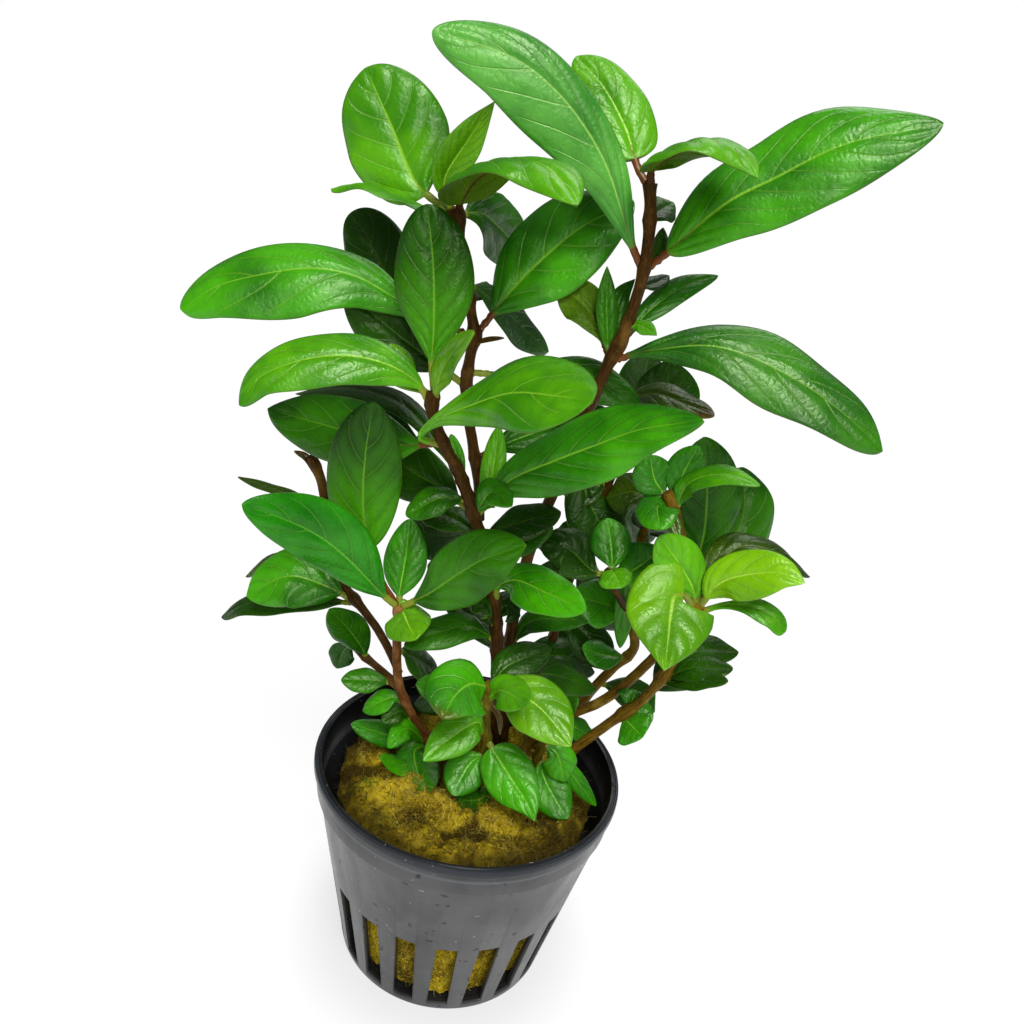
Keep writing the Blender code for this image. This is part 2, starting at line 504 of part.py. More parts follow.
def build_plug(collection, tools, stems):
    """Rings from the middle of the top out, then down the side to a flat foot."""
    wall_slope = (COLLAR_RADIUS - STEP - BASE_RADIUS) / COLLAR_FOOT
    foot_radius = BASE_RADIUS - WALL - PLUG_WALL_GAP
    work = bmesh.new()
    rings = []
    for radius in PLUG_RINGS:
        ring = []
        for side in range(PLUG_SIDES):
            angle = 2 * pi * side / PLUG_SIDES
            x, y = radius * plug_rim(angle) * cos(angle), radius * plug_rim(angle) * sin(angle)
            drop = 1.2 if radius == PLUG_RINGS[-1] else 0
            ring.append(work.verts.new((x * MM, y * MM, (plug_height(x, y) - drop) * MM)))
        rings.append(ring)
    for height in (20.0, 10.0, PLUG_FOOT):
        radius = foot_radius + wall_slope * height - 0.4
        ring = []
        for side in range(PLUG_SIDES):
            angle = 2 * pi * side / PLUG_SIDES
            reach = radius * (1 + 0.5 * (plug_rim(angle) - 1.03))
            ring.append(work.verts.new((reach * cos(angle) * MM, reach * sin(angle) * MM, height * MM)))
        rings.append(ring)
    top = work.verts.new((0, 0, plug_height(0, 0) * MM))
    for side in range(PLUG_SIDES):
        following = (side + 1) % PLUG_SIDES
        work.faces.new((top, rings[0][side], rings[0][following]))
        for inner, outer in zip(rings, rings[1:]):
            work.faces.new((inner[side], outer[side], outer[following], inner[following]))
    work.faces.new(list(reversed(rings[-1])))
    bmesh.ops.recalc_face_normals(work, faces=work.faces)
    mesh = bpy.data.meshes.new("plug")
    work.to_mesh(mesh)
    work.free()
    plug = new_object("plug", mesh, collection, "plug")
    for entry in stems.values():
        if entry.parent is None:
            boolean(plug, stem_tube(entry, SOCKET_GAP, tools, socket=True), "DIFFERENCE")
    return plug


# Stems

def round_section():
    """A ring of 1 mm radius, the section of every stem."""
    curve = bpy.data.curves.new("section", "CURVE")
    spline = curve.splines.new("POLY")
    spline.points.add(STEM_SIDES - 1)
    for index, point in enumerate(spline.points):
        angle = 2 * pi * index / STEM_SIDES
        point.co = (cos(angle) * MM, sin(angle) * MM, 0, 1)
    spline.use_cyclic_u = True
    return bpy.data.objects.new("section", curve)


def stem_tube(entry, extra, collection, socket=False):
    """A round tube along a stem, extra mm thicker than the stem, as a mesh object."""
    line = stem_line(entry)
    if socket:
        foot = line[0] + unit(line[0] - line[1]) * SOCKET_GAP
        line = np.vstack([[foot], line[:6]])
    ring = round_section()
    curve = bpy.data.curves.new(entry.name, "CURVE")
    curve.dimensions = "3D"
    curve.bevel_mode = "OBJECT"
    curve.bevel_object = ring
    curve.use_fill_caps = True
    spline = curve.splines.new("POLY")
    spline.points.add(len(line) - 1)
    full = len(stem_line(entry)) - 1
    for index, point in enumerate(line):
        spline.points[index].co = (*(point * MM), 1)
        spline.points[index].radius = stem_radius(entry, min(1, index / full)) + extra
    guide = bpy.data.objects.new(entry.name + "_line", curve)
    collection.objects.link(guide)
    tube = bpy.data.objects.new(entry.name + "_tube", evaluated_mesh(guide))
    collection.objects.link(tube)
    bpy.data.objects.remove(guide)
    bpy.data.objects.remove(ring)
    hide_tool(tube)
    return tube


def build_stem(entry, collection, tools, stems):
    """A stem with its small leaves joined to it, cut clear of the stem that it forks from."""
    tube = stem_tube(entry, 0, tools)
    stalk = new_object(entry.name, tube.data, collection, "stem")
    bpy.data.objects.remove(tube)
    for blade in LEAVES:
        if blade.stem == entry.name and not blade.own:
            boolean(stalk, build_leaf(blade, tools, stems), "UNION", UNION_SOLVER.get(entry.name, "EXACT"))
    if entry.parent:
        boolean(stalk, stem_tube(stems[entry.parent], GAP + 0.05, tools), "DIFFERENCE")
    return stalk


# Leaves

def leaf_rows(entry, length):
    """Each row of a blade as its share of the midrib and its half width."""
    stalk = entry.stalk / length
    rows = [(0, 0.5 * PETIOLE)]
    if entry.own:
        rows.append((stalk, 0.5 * PETIOLE))
    for share in BLADE_ROWS if entry.own else SMALL_ROWS:
        rows.append((stalk + (1 - stalk) * share, half_width(entry, share)))
    return rows


def leaf_sheet(entry, stems):
    """Middle face of a leaf: a strip of rows, folded along the midrib where the leaf is its own piece."""
    line = midrib(entry, stems)
    length = np.linalg.norm(np.diff(line, axis=0), axis=1).sum()
    frames = leaf_frames(entry, line)
    points = []
    for share, half in leaf_rows(entry, length):
        index = round(share * (len(line) - 1))
        point, (across, normal) = line[index], frames[index]
        rise = half * tan(radians(entry.fold))
        points.append(point - half * across + rise * normal)
        if entry.own:
            points.append(point)
        points.append(point + half * across + rise * normal)
    wide = 3 if entry.own else 2
    faces = []
    for row in range(len(points) // wide - 1):
        for column in range(wide - 1):
            corner = wide * row + column
            faces.append((corner, corner + 1, corner + wide + 1, corner + wide))
    return points, faces


def build_leaf(entry, collection, stems):
    """A thin blade: the sheet, thickened evenly about its own surface."""
    points, faces = leaf_sheet(entry, stems)
    mesh = bpy.data.meshes.new(entry.name)
    mesh.from_pydata([point * MM for point in points], [], faces)
    blade = new_object(entry.name, mesh, collection, "leaf")
    thick = blade.modifiers.new("Thickness", "SOLIDIFY")
    thick.thickness = LEAF_THICK * MM
    thick.offset = 0
    if not entry.own:
        hide_tool(blade)
    return blade


def main():
    for obj in list(bpy.data.objects):
        bpy.data.objects.remove(obj)
    parts = bpy.data.collections.new("potted_staurogyne_repens")
    tools = bpy.data.collections.new("cutters")
    for collection in (parts, tools):
        bpy.context.scene.collection.children.link(collection)
    stems = {entry.name: entry for entry in STEMS}
    build_pot(parts, tools)
    build_plug(parts, tools, stems)
    for entry in STEMS:
        build_stem(entry, parts, tools, stems)
    for entry in LEAVES:
        if entry.own:
            build_leaf(entry, parts, stems)


main()
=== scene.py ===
"""Potted Staurogyne repens: detailed leaves, stems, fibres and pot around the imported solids.

Shapes are in millimetres until a piece is made, then in metres in the solids' own frame.
"""
import bmesh
import bpy
import numpy as np
from collections import namedtuple
from math import cos, log, pi, radians, sin, tan
from mathutils import Matrix, Vector

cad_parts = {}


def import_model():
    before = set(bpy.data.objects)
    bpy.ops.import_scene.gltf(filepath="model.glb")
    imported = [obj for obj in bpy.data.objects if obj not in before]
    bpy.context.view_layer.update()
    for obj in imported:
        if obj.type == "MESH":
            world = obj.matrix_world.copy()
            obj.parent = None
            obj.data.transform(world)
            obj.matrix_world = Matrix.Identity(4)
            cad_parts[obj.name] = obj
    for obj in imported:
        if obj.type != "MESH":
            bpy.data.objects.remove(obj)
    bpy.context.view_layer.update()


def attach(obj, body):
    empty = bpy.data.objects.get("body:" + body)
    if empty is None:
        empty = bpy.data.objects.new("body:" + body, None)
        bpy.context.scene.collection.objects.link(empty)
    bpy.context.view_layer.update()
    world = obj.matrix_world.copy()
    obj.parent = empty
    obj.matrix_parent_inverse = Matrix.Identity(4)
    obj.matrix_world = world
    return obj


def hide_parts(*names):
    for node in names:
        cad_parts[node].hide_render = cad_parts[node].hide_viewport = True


MM = 0.001

# Net pot, mm
POT_HEIGHT = 40.0
RIM_RADIUS = 27.5
LIP_RADIUS = 26.1
COLLAR_RADIUS = 26.7
COLLAR_FOOT = 34.3
STEP = 0.5
BASE_RADIUS = 19.6
WALL = 1.1
WALL_SLOPE = (COLLAR_RADIUS - STEP - BASE_RADIUS) / COLLAR_FOOT
FLOOR_TOP = 1.2
SLOT_COUNT = 20
SLOT_FIRST = -85.7         # degrees from +X to the middle of one slot
SLOT_WIDTH = 3.6
SLOT_FOOT = 1.6
SLOT_TOP = 18.4
CUT_DEPTH = 7.0
EDGE_SOFTNESS = 0.14
POT_SIDES = 200
PAINTED_EDGE_HIGHLIGHTS = ((34.1, 34.3), (37.0, 37.3))      # painted highlights along edges of the collar, from and to
DARK_LIP = 38.6

# Fibrous plug, mm
PLUG_TOP = 36.6
PLUG_FOOT = 1.6
PLUG_RADIUS = 22.3
PLUG_SHOULDER = 33.5
PLUG_WALL_GAP = 1.1
PLUG_SIDES = 240
TOP_RINGS, SIDE_RINGS = 60, 46

# Tufts on the plug and green moss on them, as x, y and reach in mm
TUFTS = [(-17, -9, 4.5), (-12, -15, 4.0), (-6, -17.5, 4.2), (1, -19, 3.6), (8, -17.5, 4.2),
         (14.5, -14, 4.5), (18.5, -7, 4.2), (19.5, 1, 4.0), (17, 9, 4.5), (10, 14, 4.5), (2, 17, 4.5),
         (-7, 16, 4.5), (-15, 11, 4.5), (-19, 3, 4.0), (-10, -7, 4.5), (-2, -10, 4.5), (7, -9, 4.5),
         (12, -2, 4.5), (8, 6, 4.5), (-1, 8, 4.5), (-9, 4, 4.5), (0, -1, 4.0)]
MOSS = [(-17.5, -8, 2.6), (-12, -16.5, 2.4), (3, 16, 3.0), (16, 9, 2.5)]
FIBRES = [("fibre_brown", (0.20, 0.11, 0.008)), ("fibre_olive", (0.46, 0.35, 0.016)),
          ("fibre_gold", (0.82, 0.62, 0.12)), ("fibre_moss", (0.05, 0.24, 0.004))]
FIBRE_WIDTHS = (0.13, 0.12, 0.10, 0.16)
GOLD, GREEN = 2, 3         # places in FIBRES
TOP_FIBRES, EDGE_FIBRES, SIDE_FIBRES = 7400, 150, 4200
HAIR_RINGS, HAIR_SIDES = 5, 3
HAIR_REACH = 25.2          # how far from the axis a hair on the plug may lie, mm
EDGE_HEIGHT = 38.2         # roots of the hairs over the rim, mm
EDGE_SIDE, EDGE_SPREAD = radians(-58), radians(34)

# View of the photograph: eye in mm, angles in degrees, focal length in pixels of a 1024-pixel frame
EYE = np.array([0.3, -134.0, 143.6])
PITCH = 22.24
ROLL = 9.51
FOCAL = 900.0
CENTRE = 512.0
FRAME = 1024

# Leaves and stems
PETIOLE = 1.1              # width of a leaf stalk, mm
SMALL_STALK = 0.06         # length of a small leaf's stalk, as a share of the leaf
VEIN_RISE = 0.34           # how far a side vein climbs on its way to the margin, as a share of the blade
WAVES = 2.5                # waves along a margin
MEAN_WIDTH = 13            # width of a leaf whose relief has its full height, mm
STEM_SIDES = 14
MIDRIB_POINTS = 161
LARGE_GRID = (52, 27, 6)   # rows and columns of a blade, rows of its stalk
SMALL_GRID = (30, 15, 2)

# Studio: soft suns as name, where they shine from, width in degrees, strength
ROOM_LIGHT = 0.14
FLOOR_GLOW = 0.90
FLOOR_REACH = 3.0          # metres
LIGHTS = [
    ("key", (0.12, -0.62, 1.0), 26, 2.9),
    ("fill", (0.15, -0.9, 0.45), 26, 0.85),
    ("back", (0.25, 0.8, 1.0), 40, 0.8),
]

# A stem's points are seen at pixels x,y and lie in planes Y = the third number, in mm.
Stem = namedtuple("Stem", "name points foot_radius top_radius bark", defaults=["red"])
# A leaf's midrib is seen through pixels x,y, base first, and its tip is depth mm behind its base.
# front and side turn its upper face, in degrees from up to the viewer and to the right, and fold lifts
# its halves. stalk is in mm, and peak is the widest place. tip and foot are the fullness of both ends
# (less is fuller), skew is how much wider the left half is than the right, cup is the droop of the
# margins, wave their height, veins the number of side veins, brown how brown the tip is. tone, under
# and rib are the colours of the upper face, of the underside and of the stalk. own is false where a
# leaf is one piece with its stem.
Leaf = namedtuple("Leaf", "name seen depth width front tone side fold stalk peak tip foot skew cup wave "
                          "veins brown under rib own stem",
                  defaults=[45, "green", 0, 0, 2, 0.5, 0.6, 0.8, 0, 0.1, 0.35, 4.8, 0, "pale", "green",
                            True, None])


def small(*row, **more):
    """A leaf that is one piece with its stem."""
    return Leaf(*row, **more, own=False)


def on_stems(*rows):
    """Leaves, each on the stem whose name comes before it."""
    leaves, stem = [], None
    for row in rows:
        if isinstance(row, str):
            stem = row
        else:
            leaves.append(row._replace(stem=stem))
    return leaves


STEMS = [
    Stem("tall_stem", "501,772,10.5 505,700,10 513,620,9 530,550,7 552,495,5 580,430,3 607,367,2 "
         "623,336,2 644,270,1 650,218,1 650,184,1", 1.1, 0.8),
    Stem("centre_stem", "488,770,4 494,720,4 497,656,4 493,592,3 478,528,0 460,475,-2 442,440,-4 "
         "432,408,-5 433,392,-5", 1.15, 0.85),
    Stem("upper_stem", "479,520,0.5 479,488,4 474,452,5 466,392,6 471,352,6 474,335,6 467,290,6 "
         "461,250,5 458,224,4 454,209,4", 0.9, 0.75),
    Stem("front_left_stem", "437,777,5 430,745,5 411,713,3 399,684,1 397,640,-1 399,606,-2", 0.85, 0.75,
         "rosy"),
    Stem("left_stem", "399,673,0.5 391,654,3 378,630,5 361,607,7 344,585,9 333,550,10 327,515,10 "
         "321,480,10 311,456,10", 0.75, 0.85),
    Stem("low_left_stem", "401,690,1.3 382,671,5 364,656,7 349,640,9 338,622,11", 0.75, 0.6),
    Stem("right_stem_1", "514,780,9 524,750,9 545,728,8 568,715,7 602,701,6 643,668,5 662,646,5 "
         "676,608,5 683,570,5 682,538,4 671,503,3 667,492,3", 1.05, 0.75, "tan"),
    Stem("right_stem_2", "538,812,1 550,777,2 570,753,3 611,722,2 640,702,1 664,675,0 685,640,-1 "
         "697,605,-2", 1, 0.8, "tan"),
    Stem("right_stem_3", "540,790,10 553,750,11 573,716,12 592,690,12 613,668,12 634,648,12 628,610,11 "
         "634,570,10 645,530,10 654,497,10", 1, 0.75, "tan"),
    Stem("rosette_shoot", "628,612,11 619,597,7 611,580,4 609,571,3", 0.7, 0.6),
    Stem("back_stem", "520,765,15 543,680,17 563,600,17 587,532,16 610,480,15 628,445,14 634,424,14", 1,
         0.7),
    Stem("front_stem", "484,815,-4 484,775,-4 486,735,-5 487,705,-6 489,684,-7", 0.85, 0.65, "olive"),
    Stem("low_right_stem", "529,822,-3 531,790,-3 535,765,-4 543,745,-4", 0.7, 0.55, "olive"),
]

LEAVES = on_stems(
    # Tall stem, from its top down
    "tall_stem",
    Leaf("tall_leaf_top_left", "648,186 640,172 634,156 628,134 618,112 603,86 576,57", 9, 9.6, 75,
         "bright", side=10, stalk=4, peak=0.38, tip=0.5, foot=0.45, wave=0.2, rib="red"),
    Leaf("tall_leaf_arching", "646,184 652,166 680,147 715,140 740,152 757,178", -11, 12.5, -8, "bright",
         side=-22, peak=0.42, tip=0.9, foot=0.45, cup=0.25, wave=0.2, under="red_rib", rib="red"),
    Leaf("tall_leaf_long_left", "644,266 630,240 604,160 563,98 514,58 432,32", -1, 10.4, 74, "cool",
         side=-6, fold=-5, stalk=3, peak=0.6, tip=0.55, foot=0.6, skew=0.3, wave=0.25, veins=6,
         rib="red"),
    Leaf("tall_leaf_long_right", "650,265 668,252 728,202 775,178 843,145 943,125", -2, 13.8, 58,
         side=-14, fold=-4, stalk=3.5, peak=0.55, tip=0.7, foot=0.45, veins=7, rib="red"),
    Leaf("tall_leaf_low_right", "614,357 660,349 720,347 791,377 846,416 882,452", -9, 12, 52, "fir",
         side=18, fold=-5, peak=0.55, foot=1, wave=0.5, rib="red"),
    Leaf("tall_leaf_back_left", "609,360 602,338 586,308 560,284", 6, 6.5, -80, "dark", side=-30,
         peak=0.6, under="red_rib", rib="red"),
    Leaf("tall_leaf_small_right", "622,345 648,312 684,286 718,276", 8, 4.6, 48, side=-15, tip=0.7,
         wave=0.2, rib="red"),
    small("bud_right", "650,268 660,246 663,228", 6, 2.4, 70, "dark", rib="red"),
    small("bud_low", "628,322 640,325 657,335", -3, 2.6, 50, "bright", tip=1, rib="red"),
    small("leaf_behind_top", "650,222 660,210 673,203", 7, 5, 60, "dark", rib="red"),
    small("young_pair_up", "612,356 607,316 607,266", 3, 3.2, 60, "deep", tip=0.9, wave=0.1, rib="red"),
    small("young_pair_right", "617,346 616,312 622,294 635,279", 6, 3.2, 60, "deep", tip=0.9, wave=0.1,
          rib="red"),
    small("middle_under", "510,640 530,621 560,619 588,622", -4, 5.6, 25, "deep"),
    # Upper stem: the shoot at the top left, and the leaves below it
    "upper_stem",
    Leaf("upper_leaf_broad", "456,214 440,205 416,183 391,125 366,68", 6, 15.6, 68, "bright", side=-12,
         stalk=5, peak=0.46, tip=0.42, foot=0.6, wave=0.3, veins=5),
    Leaf("upper_leaf_young", "456,210 444,182 468,140 495,101", -2, 5.2, 58, "fresh", side=20, fold=25,
         peak=0.42, tip=1, foot=0.7, wave=0.1, veins=7),
    Leaf("upper_leaf_arching", "459,212 470,180 500,161 545,166 577,206", -20, 14, -5, "bright", side=-20,
         peak=0.42, tip=0.75, foot=0.45, cup=0.2, wave=0.2, under="red_rib"),
    Leaf("upper_leaf_level", "455,223 412,203 366,186 331,190", -4, 9, 2, "bright", side=-4,
         under="red_rib"),
    Leaf("upper_leaf_behind", "462,218 478,212 500,228 526,260", 22, 10, 70, "deep", side=10),
    Leaf("upper_leaf_dark", "462,300 430,302 405,296 385,270 366,234 351,213", 12, 10.8, 60, "dark",
         side=-20, stalk=5, peak=0.6, tip=0.45),
    Leaf("upper_leaf_long_left", "468,336 430,318 392,296 358,277 313,268 259,275 214,288 181,310", -6,
         12.8, 50, side=-4, fold=-6, stalk=3, peak=0.6, tip=0.5, foot=1.1, skew=0.16, wave=0.4,
         rib="red"),
    Leaf("upper_leaf_long_right", "478,333 523,278 563,241 587,224 634,202", 5, 14.5, 58, side=-8,
         stalk=4, wave=0.25, rib="red"),
    Leaf("upper_leaf_under_left", "463,385 410,344 372,313 345,290", -1, 10, 60, "dark", side=-20,
         stalk=4),
    Leaf("upper_leaf_under_right", "470,372 520,376 582,377 612,388 640,404", 1, 7.5, 50, "deep", side=12,
         stalk=3, peak=0.6),
    Leaf("upper_leaf_shaded", "478,458 502,445 560,424 607,409", 6, 8, 52, "deep", stalk=3, rib="red"),
    small("upper_stub", "476,341 490,339 504,338", -3, 1, 40, "twig", cup=0, wave=0, under="twig"),
    small("upper_back_leaf", "470,300 480,292 486,282", 12, 4, 50, "deep"),
    small("upper_back_low", "466,284 498,303 520,325 548,352", 18, 8, 50, "deep"),
    "centre_stem",
    Leaf("centre_leaf_upright", "433,398 432,362 434,320 433,260 427,204", 4, 11.6, 80, "shade", stalk=5,
         peak=0.52, tip=0.5, foot=0.9, wave=0.25, veins=6),
    Leaf("centre_leaf_left", "431,404 418,384 396,368 360,357 325,356 288,364 258,379 240,406", -7, 9.2,
         45, "bright", side=-8, fold=-6, stalk=3, foot=0.7, wave=0.3),
    Leaf("centre_leaf_near", "438,444 421,437 436,421 474,404 512,393 552,396 592,402", -22, 13.2, 46,
         "bright", side=5, fold=-6, peak=0.7, foot=0.85, skew=0.2, wave=0.15),
    Leaf("centre_leaf_low_left", "440,445 400,445 343,430 268,409", 18, 11.4, 60, "deep", side=-10,
         stalk=4, rib="red"),
    Leaf("centre_leaf_dark_left", "474,512 441,488 399,460 384,405", 16, 10, 60, "dark", side=-5,
         stalk=3),
    Leaf("centre_leaf_broad_right", "480,512 509,481 554,461 596,445 639,430 704,421", -14, 11.6, 50,
         side=-12, fold=-3, stalk=4, tip=0.75, foot=0.75, wave=0.3, veins=7),
    small("centre_leaf_dark_right", "484,538 520,522 561,512", 2, 7, 30, "dark"),
    small("young_left", "430,398 404,376 390,344", 6, 5, 55, "fresh", peak=0.65, wave=0.15),
    small("young_right", "434,397 440,374 453,352 474,333", -12, 5.2, 50, "fresh", wave=0.15),
    small("young_upright", "484,512 489,488 499,426", 5, 4, 70, "bright", wave=0.15),
    small("young_front", "482,510 492,492 512,506", -6, 5, 50, tip=0.7, wave=0.15),
    small("bud_by_stem", "462,482 459,466 451,434", 2, 2.4, 70),
    small("small_left", "466,500 440,498 406,516", -3, 5.5, 35, "deep"),
    small("dark_low_left", "482,535 452,518 419,508", 6, 7, 20, "dark"),
    small("green_low_right", "488,560 516,543 553,527", 1, 5.5, 35, "deep"),
    small("dark_left_hidden", "457,468 405,406 350,388 296,394", 26, 6, 20, "dark"),
    # Front left stem: a rosette of two pairs
    "front_left_stem",
    Leaf("front_left_leaf_long", "396,606 383,595 350,561 326,541 302,527 270,514 242,505", -14, 10.2, 60,
         "pure", side=-8, stalk=3, skew=-0.12, wave=0.3),
    Leaf("front_left_leaf_upright", "397,605 381,580 368,545 363,500 366,450 374,402", 0, 12, 76, "shade",
         stalk=11, tip=0.55, foot=0.5, wave=0.2, veins=5, rib="red"),
    Leaf("front_left_leaf_right", "402,603 428,594 458,574 482,560 526,545", -9, 11, 50, "deep", stalk=3,
         tip=0.7, foot=0.7, wave=0.3),
    Leaf("front_left_leaf_young", "399,606 400,590 406,555 410,519", 5, 7.2, 74, stalk=1.5, peak=0.45,
         wave=0.15, veins=6),
    small("rosette_bright", "398,612 402,611 408,624 416,640", -6, 7.8, 60, "fresh", side=10, tip=0.75,
          foot=0.45, wave=0.15),
    small("low_bright_left", "424,738 400,738 375,731 351,724", -3, 4.8, 40),
    small("low_pair_left", "425,740 406,728 388,748", -8, 4.2, 40),
    small("low_round", "430,744 415,750 417,770 430,793", -12, 8.4, 25),
    small("small_dark_side", "405,700 393,697 363,711", -1, 4.5, 30),
    # Left stem, trimmed at its top
    "left_stem",
    Leaf("left_leaf_upper", "352,598 330,588 290,576 247,595", -2, 11.5, 42, side=-8, foot=0.7, wave=0.3),
    Leaf("left_leaf_lower", "354,602 330,601 280,599 242,605 222,618", 3, 7, 20, "dark", side=-8),
    small("cut_spur", "316,465 306,457 294,451", 0, 1.2, 40, "twig", cup=0, wave=0, under="twig"),
    small("narrow_strip", "326,508 290,494 238,477", 8, 3, 10, "olive", under="red_rib"),
    "low_left_stem",
    small("low_left_dark", "366,658 360,645 345,625 329,610", -8, 6.5, 65, "deep"),
    small("low_left_tip", "352,642 343,652 337,668", 2, 5, 75, "deep"),
    small("low_left_over_rim", "392,680 372,680 341,680", -2, 5, 30, "deep"),
    "right_stem_1",
    small("right_leaf_broad", "674,514 658,506 660,530", -7, 7, 35, side=-20, tip=0.45, foot=0.6),
    small("right_leaf_arching", "672,508 690,482 725,474 760,486", -8, 5, 30, "bright", tip=0.7, foot=0.6,
          wave=0.15),
    Leaf("right_leaf_dark", "684,575 700,550 707,500 704,437", 2, 12, 72, "deep", side=5, stalk=4,
         foot=0.6),
    Leaf("right_leaf_dark_outer", "682,582 725,552 743,515 742,467", 9, 13, 70, "deep", side=15, stalk=4,
         foot=0.5),
    small("right_young", "667,496 655,480 650,455", 1, 7, 60),
    small("right_young_tip", "669,501 684,472 699,446", 1, 6, 55),
    small("pot_edge_right", "560,718 575,727 594,738", 1, 5, 30),
    small("pot_edge_green", "562,716 566,706 578,697", -3, 4, 40),
    "right_stem_2",
    Leaf("right_leaf_olive", "697,606 716,566 742,546 775,551 809,577", 6, 7.5, 10, "olive", side=20,
         under="red_rib"),
    Leaf("right_leaf_bright", "700,602 722,582 761,573 785,574 805,583", -6, 8.2, 50, "lime", tip=0.8,
         foot=0.6, wave=0.25),
    Leaf("right_leaf_up", "695,610 694,592 680,565 659,536", 0, 8.5, 60, "bright", foot=0.6, wave=0.2),
    Leaf("right_leaf_notched", "698,612 725,605 752,607 772,616 785,632", -3, 4.8, 30, "bright", side=10,
         peak=0.7, tip=0.3, wave=0.25),
    Leaf("right_leaf_hanging", "694,610 685,596 675,596 671,612 668,640 664,671", -14, 14, 60, "fresh",
         stalk=5.2, peak=0.32, tip=0.95, foot=0.35, wave=0.12),
    small("right_leaf_dark_low", "662,677 690,668 733,669", -2, 6, 20, "dark"),
    small("dark_tip_upper", "664,672 700,650 738,652", 5, 6, 30, "dark"),
    small("dark_tip_lower", "660,680 695,680 728,681", -6, 4.6, 20, "dark"),
    small("pair_low_a", "622,715 630,724 643,737", -4, 7.5, 60),
    small("pair_low_b", "626,712 638,714 653,720", -1, 5.5, 40),
    small("pair_low_c", "630,710 632,700 636,690", 2, 5.5, 60),
    # Rosette behind the hanging leaf
    "rosette_shoot",
    Leaf("rosette_leaf_left", "611,576 592,570 566,548 541,549", 0, 9, 40, "dark", side=-10),
    small("rosette_leaf_upright", "610,572 612,566 611,545 607,518", 4, 7, 70),
    small("rosette_leaf_front", "609,575 612,571 622,588", -4, 6, 50, "bright"),
    small("rosette_leaf_right", "613,578 626,574 645,562 660,548", 1, 8.5, 50),
    "right_stem_3",
    small("hidden_olive", "652,505 636,492 606,498", 4, 8.5, 40, "olive"),
    small("green_left_low", "628,660 605,655 582,648", -3, 6, 30),
    small("green_left_mid", "628,612 605,604 572,596", -2, 9.5, 40),
    small("back_right_leaf", "645,535 660,520 672,510", 14, 10, 10, "dark"),
    # Back stem, mostly hidden
    "back_stem",
    Leaf("back_leaf_round", "634,428 648,430 664,404 670,361", 2, 11.5, 62, "dark", stalk=3, peak=0.48),
    Leaf("back_leaf_brown_tip", "634,428 632,402 655,393 685,404 714,416", -14, 6.5, 40, "olive", side=10,
         stalk=3, brown=0.8),
    small("back_leaf_low", "605,490 590,465 580,440", 12, 9, 10, "dark"),
    small("back_leaf_droop", "606,488 585,484 598,520 622,556", -4, 10.5, 50, "dark"),
    small("back_leaf_high", "634,426 640,395 650,350", 14, 9, 30, "dark"),
    small("back_leaf_side", "575,565 560,545 548,535", 14, 9, 10, "dark"),
    # Leaves low in the middle
    "centre_stem",
    Leaf("middle_leaf_right", "494,600 498,587 515,580 545,592 585,611", -13, 8.2, 50, side=10, stalk=3),
    small("middle_dark", "494,622 486,604 472,612", -5, 5, 30, "dark"),
    small("middle_dark_left", "497,640 470,626 440,632 404,646", -6, 6.5, 30, "deep"),
    small("middle_back", "496,650 465,612 445,596", 10, 6, 20, "dark"),
    "front_stem",
    Leaf("front_leaf_bright_right", "488,697 506,688 540,708 571,747", -9, 10, 45, "fresh", side=12,
         stalk=3, tip=0.85, foot=0.7, wave=0.25),
    Leaf("front_leaf_glossy", "486,738 495,753 511,778 527,803 535,822", -10, 8.8, 50, side=-5, stalk=1.5,
         peak=0.4, tip=1, foot=0.45, wave=0.2),
    small("front_leaf_low_left", "486,735 478,722 452,737 423,761", -8, 7, 45, "bright", side=-10,
          tip=0.8, wave=0.2),
    small("front_leaf_down", "489,686 470,684 454,697 443,719", -10, 11, 40, tip=0.8, foot=0.5, wave=0.2,
          brown=0.6),
    small("front_leaf_top", "489,688 505,668 551,648", 7, 6.5, 35, "dark"),
    small("front_leaf_side", "488,702 455,692 416,684", -4, 6.5, 35, "deep"),
    small("front_leaf_under", "485,752 470,764 452,795", -6, 7),
    small("front_leaf_flat", "490,782 484,797 458,801", -6, 5, 55, "deep"),
    small("front_leaf_back", "488,708 540,674 596,690", 9, 7, 30, "dark"),
    "low_right_stem",
    small("low_right_leaf_a", "537,757 545,780 567,819", -5, 7, 50),
    small("low_right_leaf_b", "541,742 556,752 564,782", -2, 6, 50),
    small("low_right_leaf_c", "542,748 566,768 596,806", -1, 3.2),
)
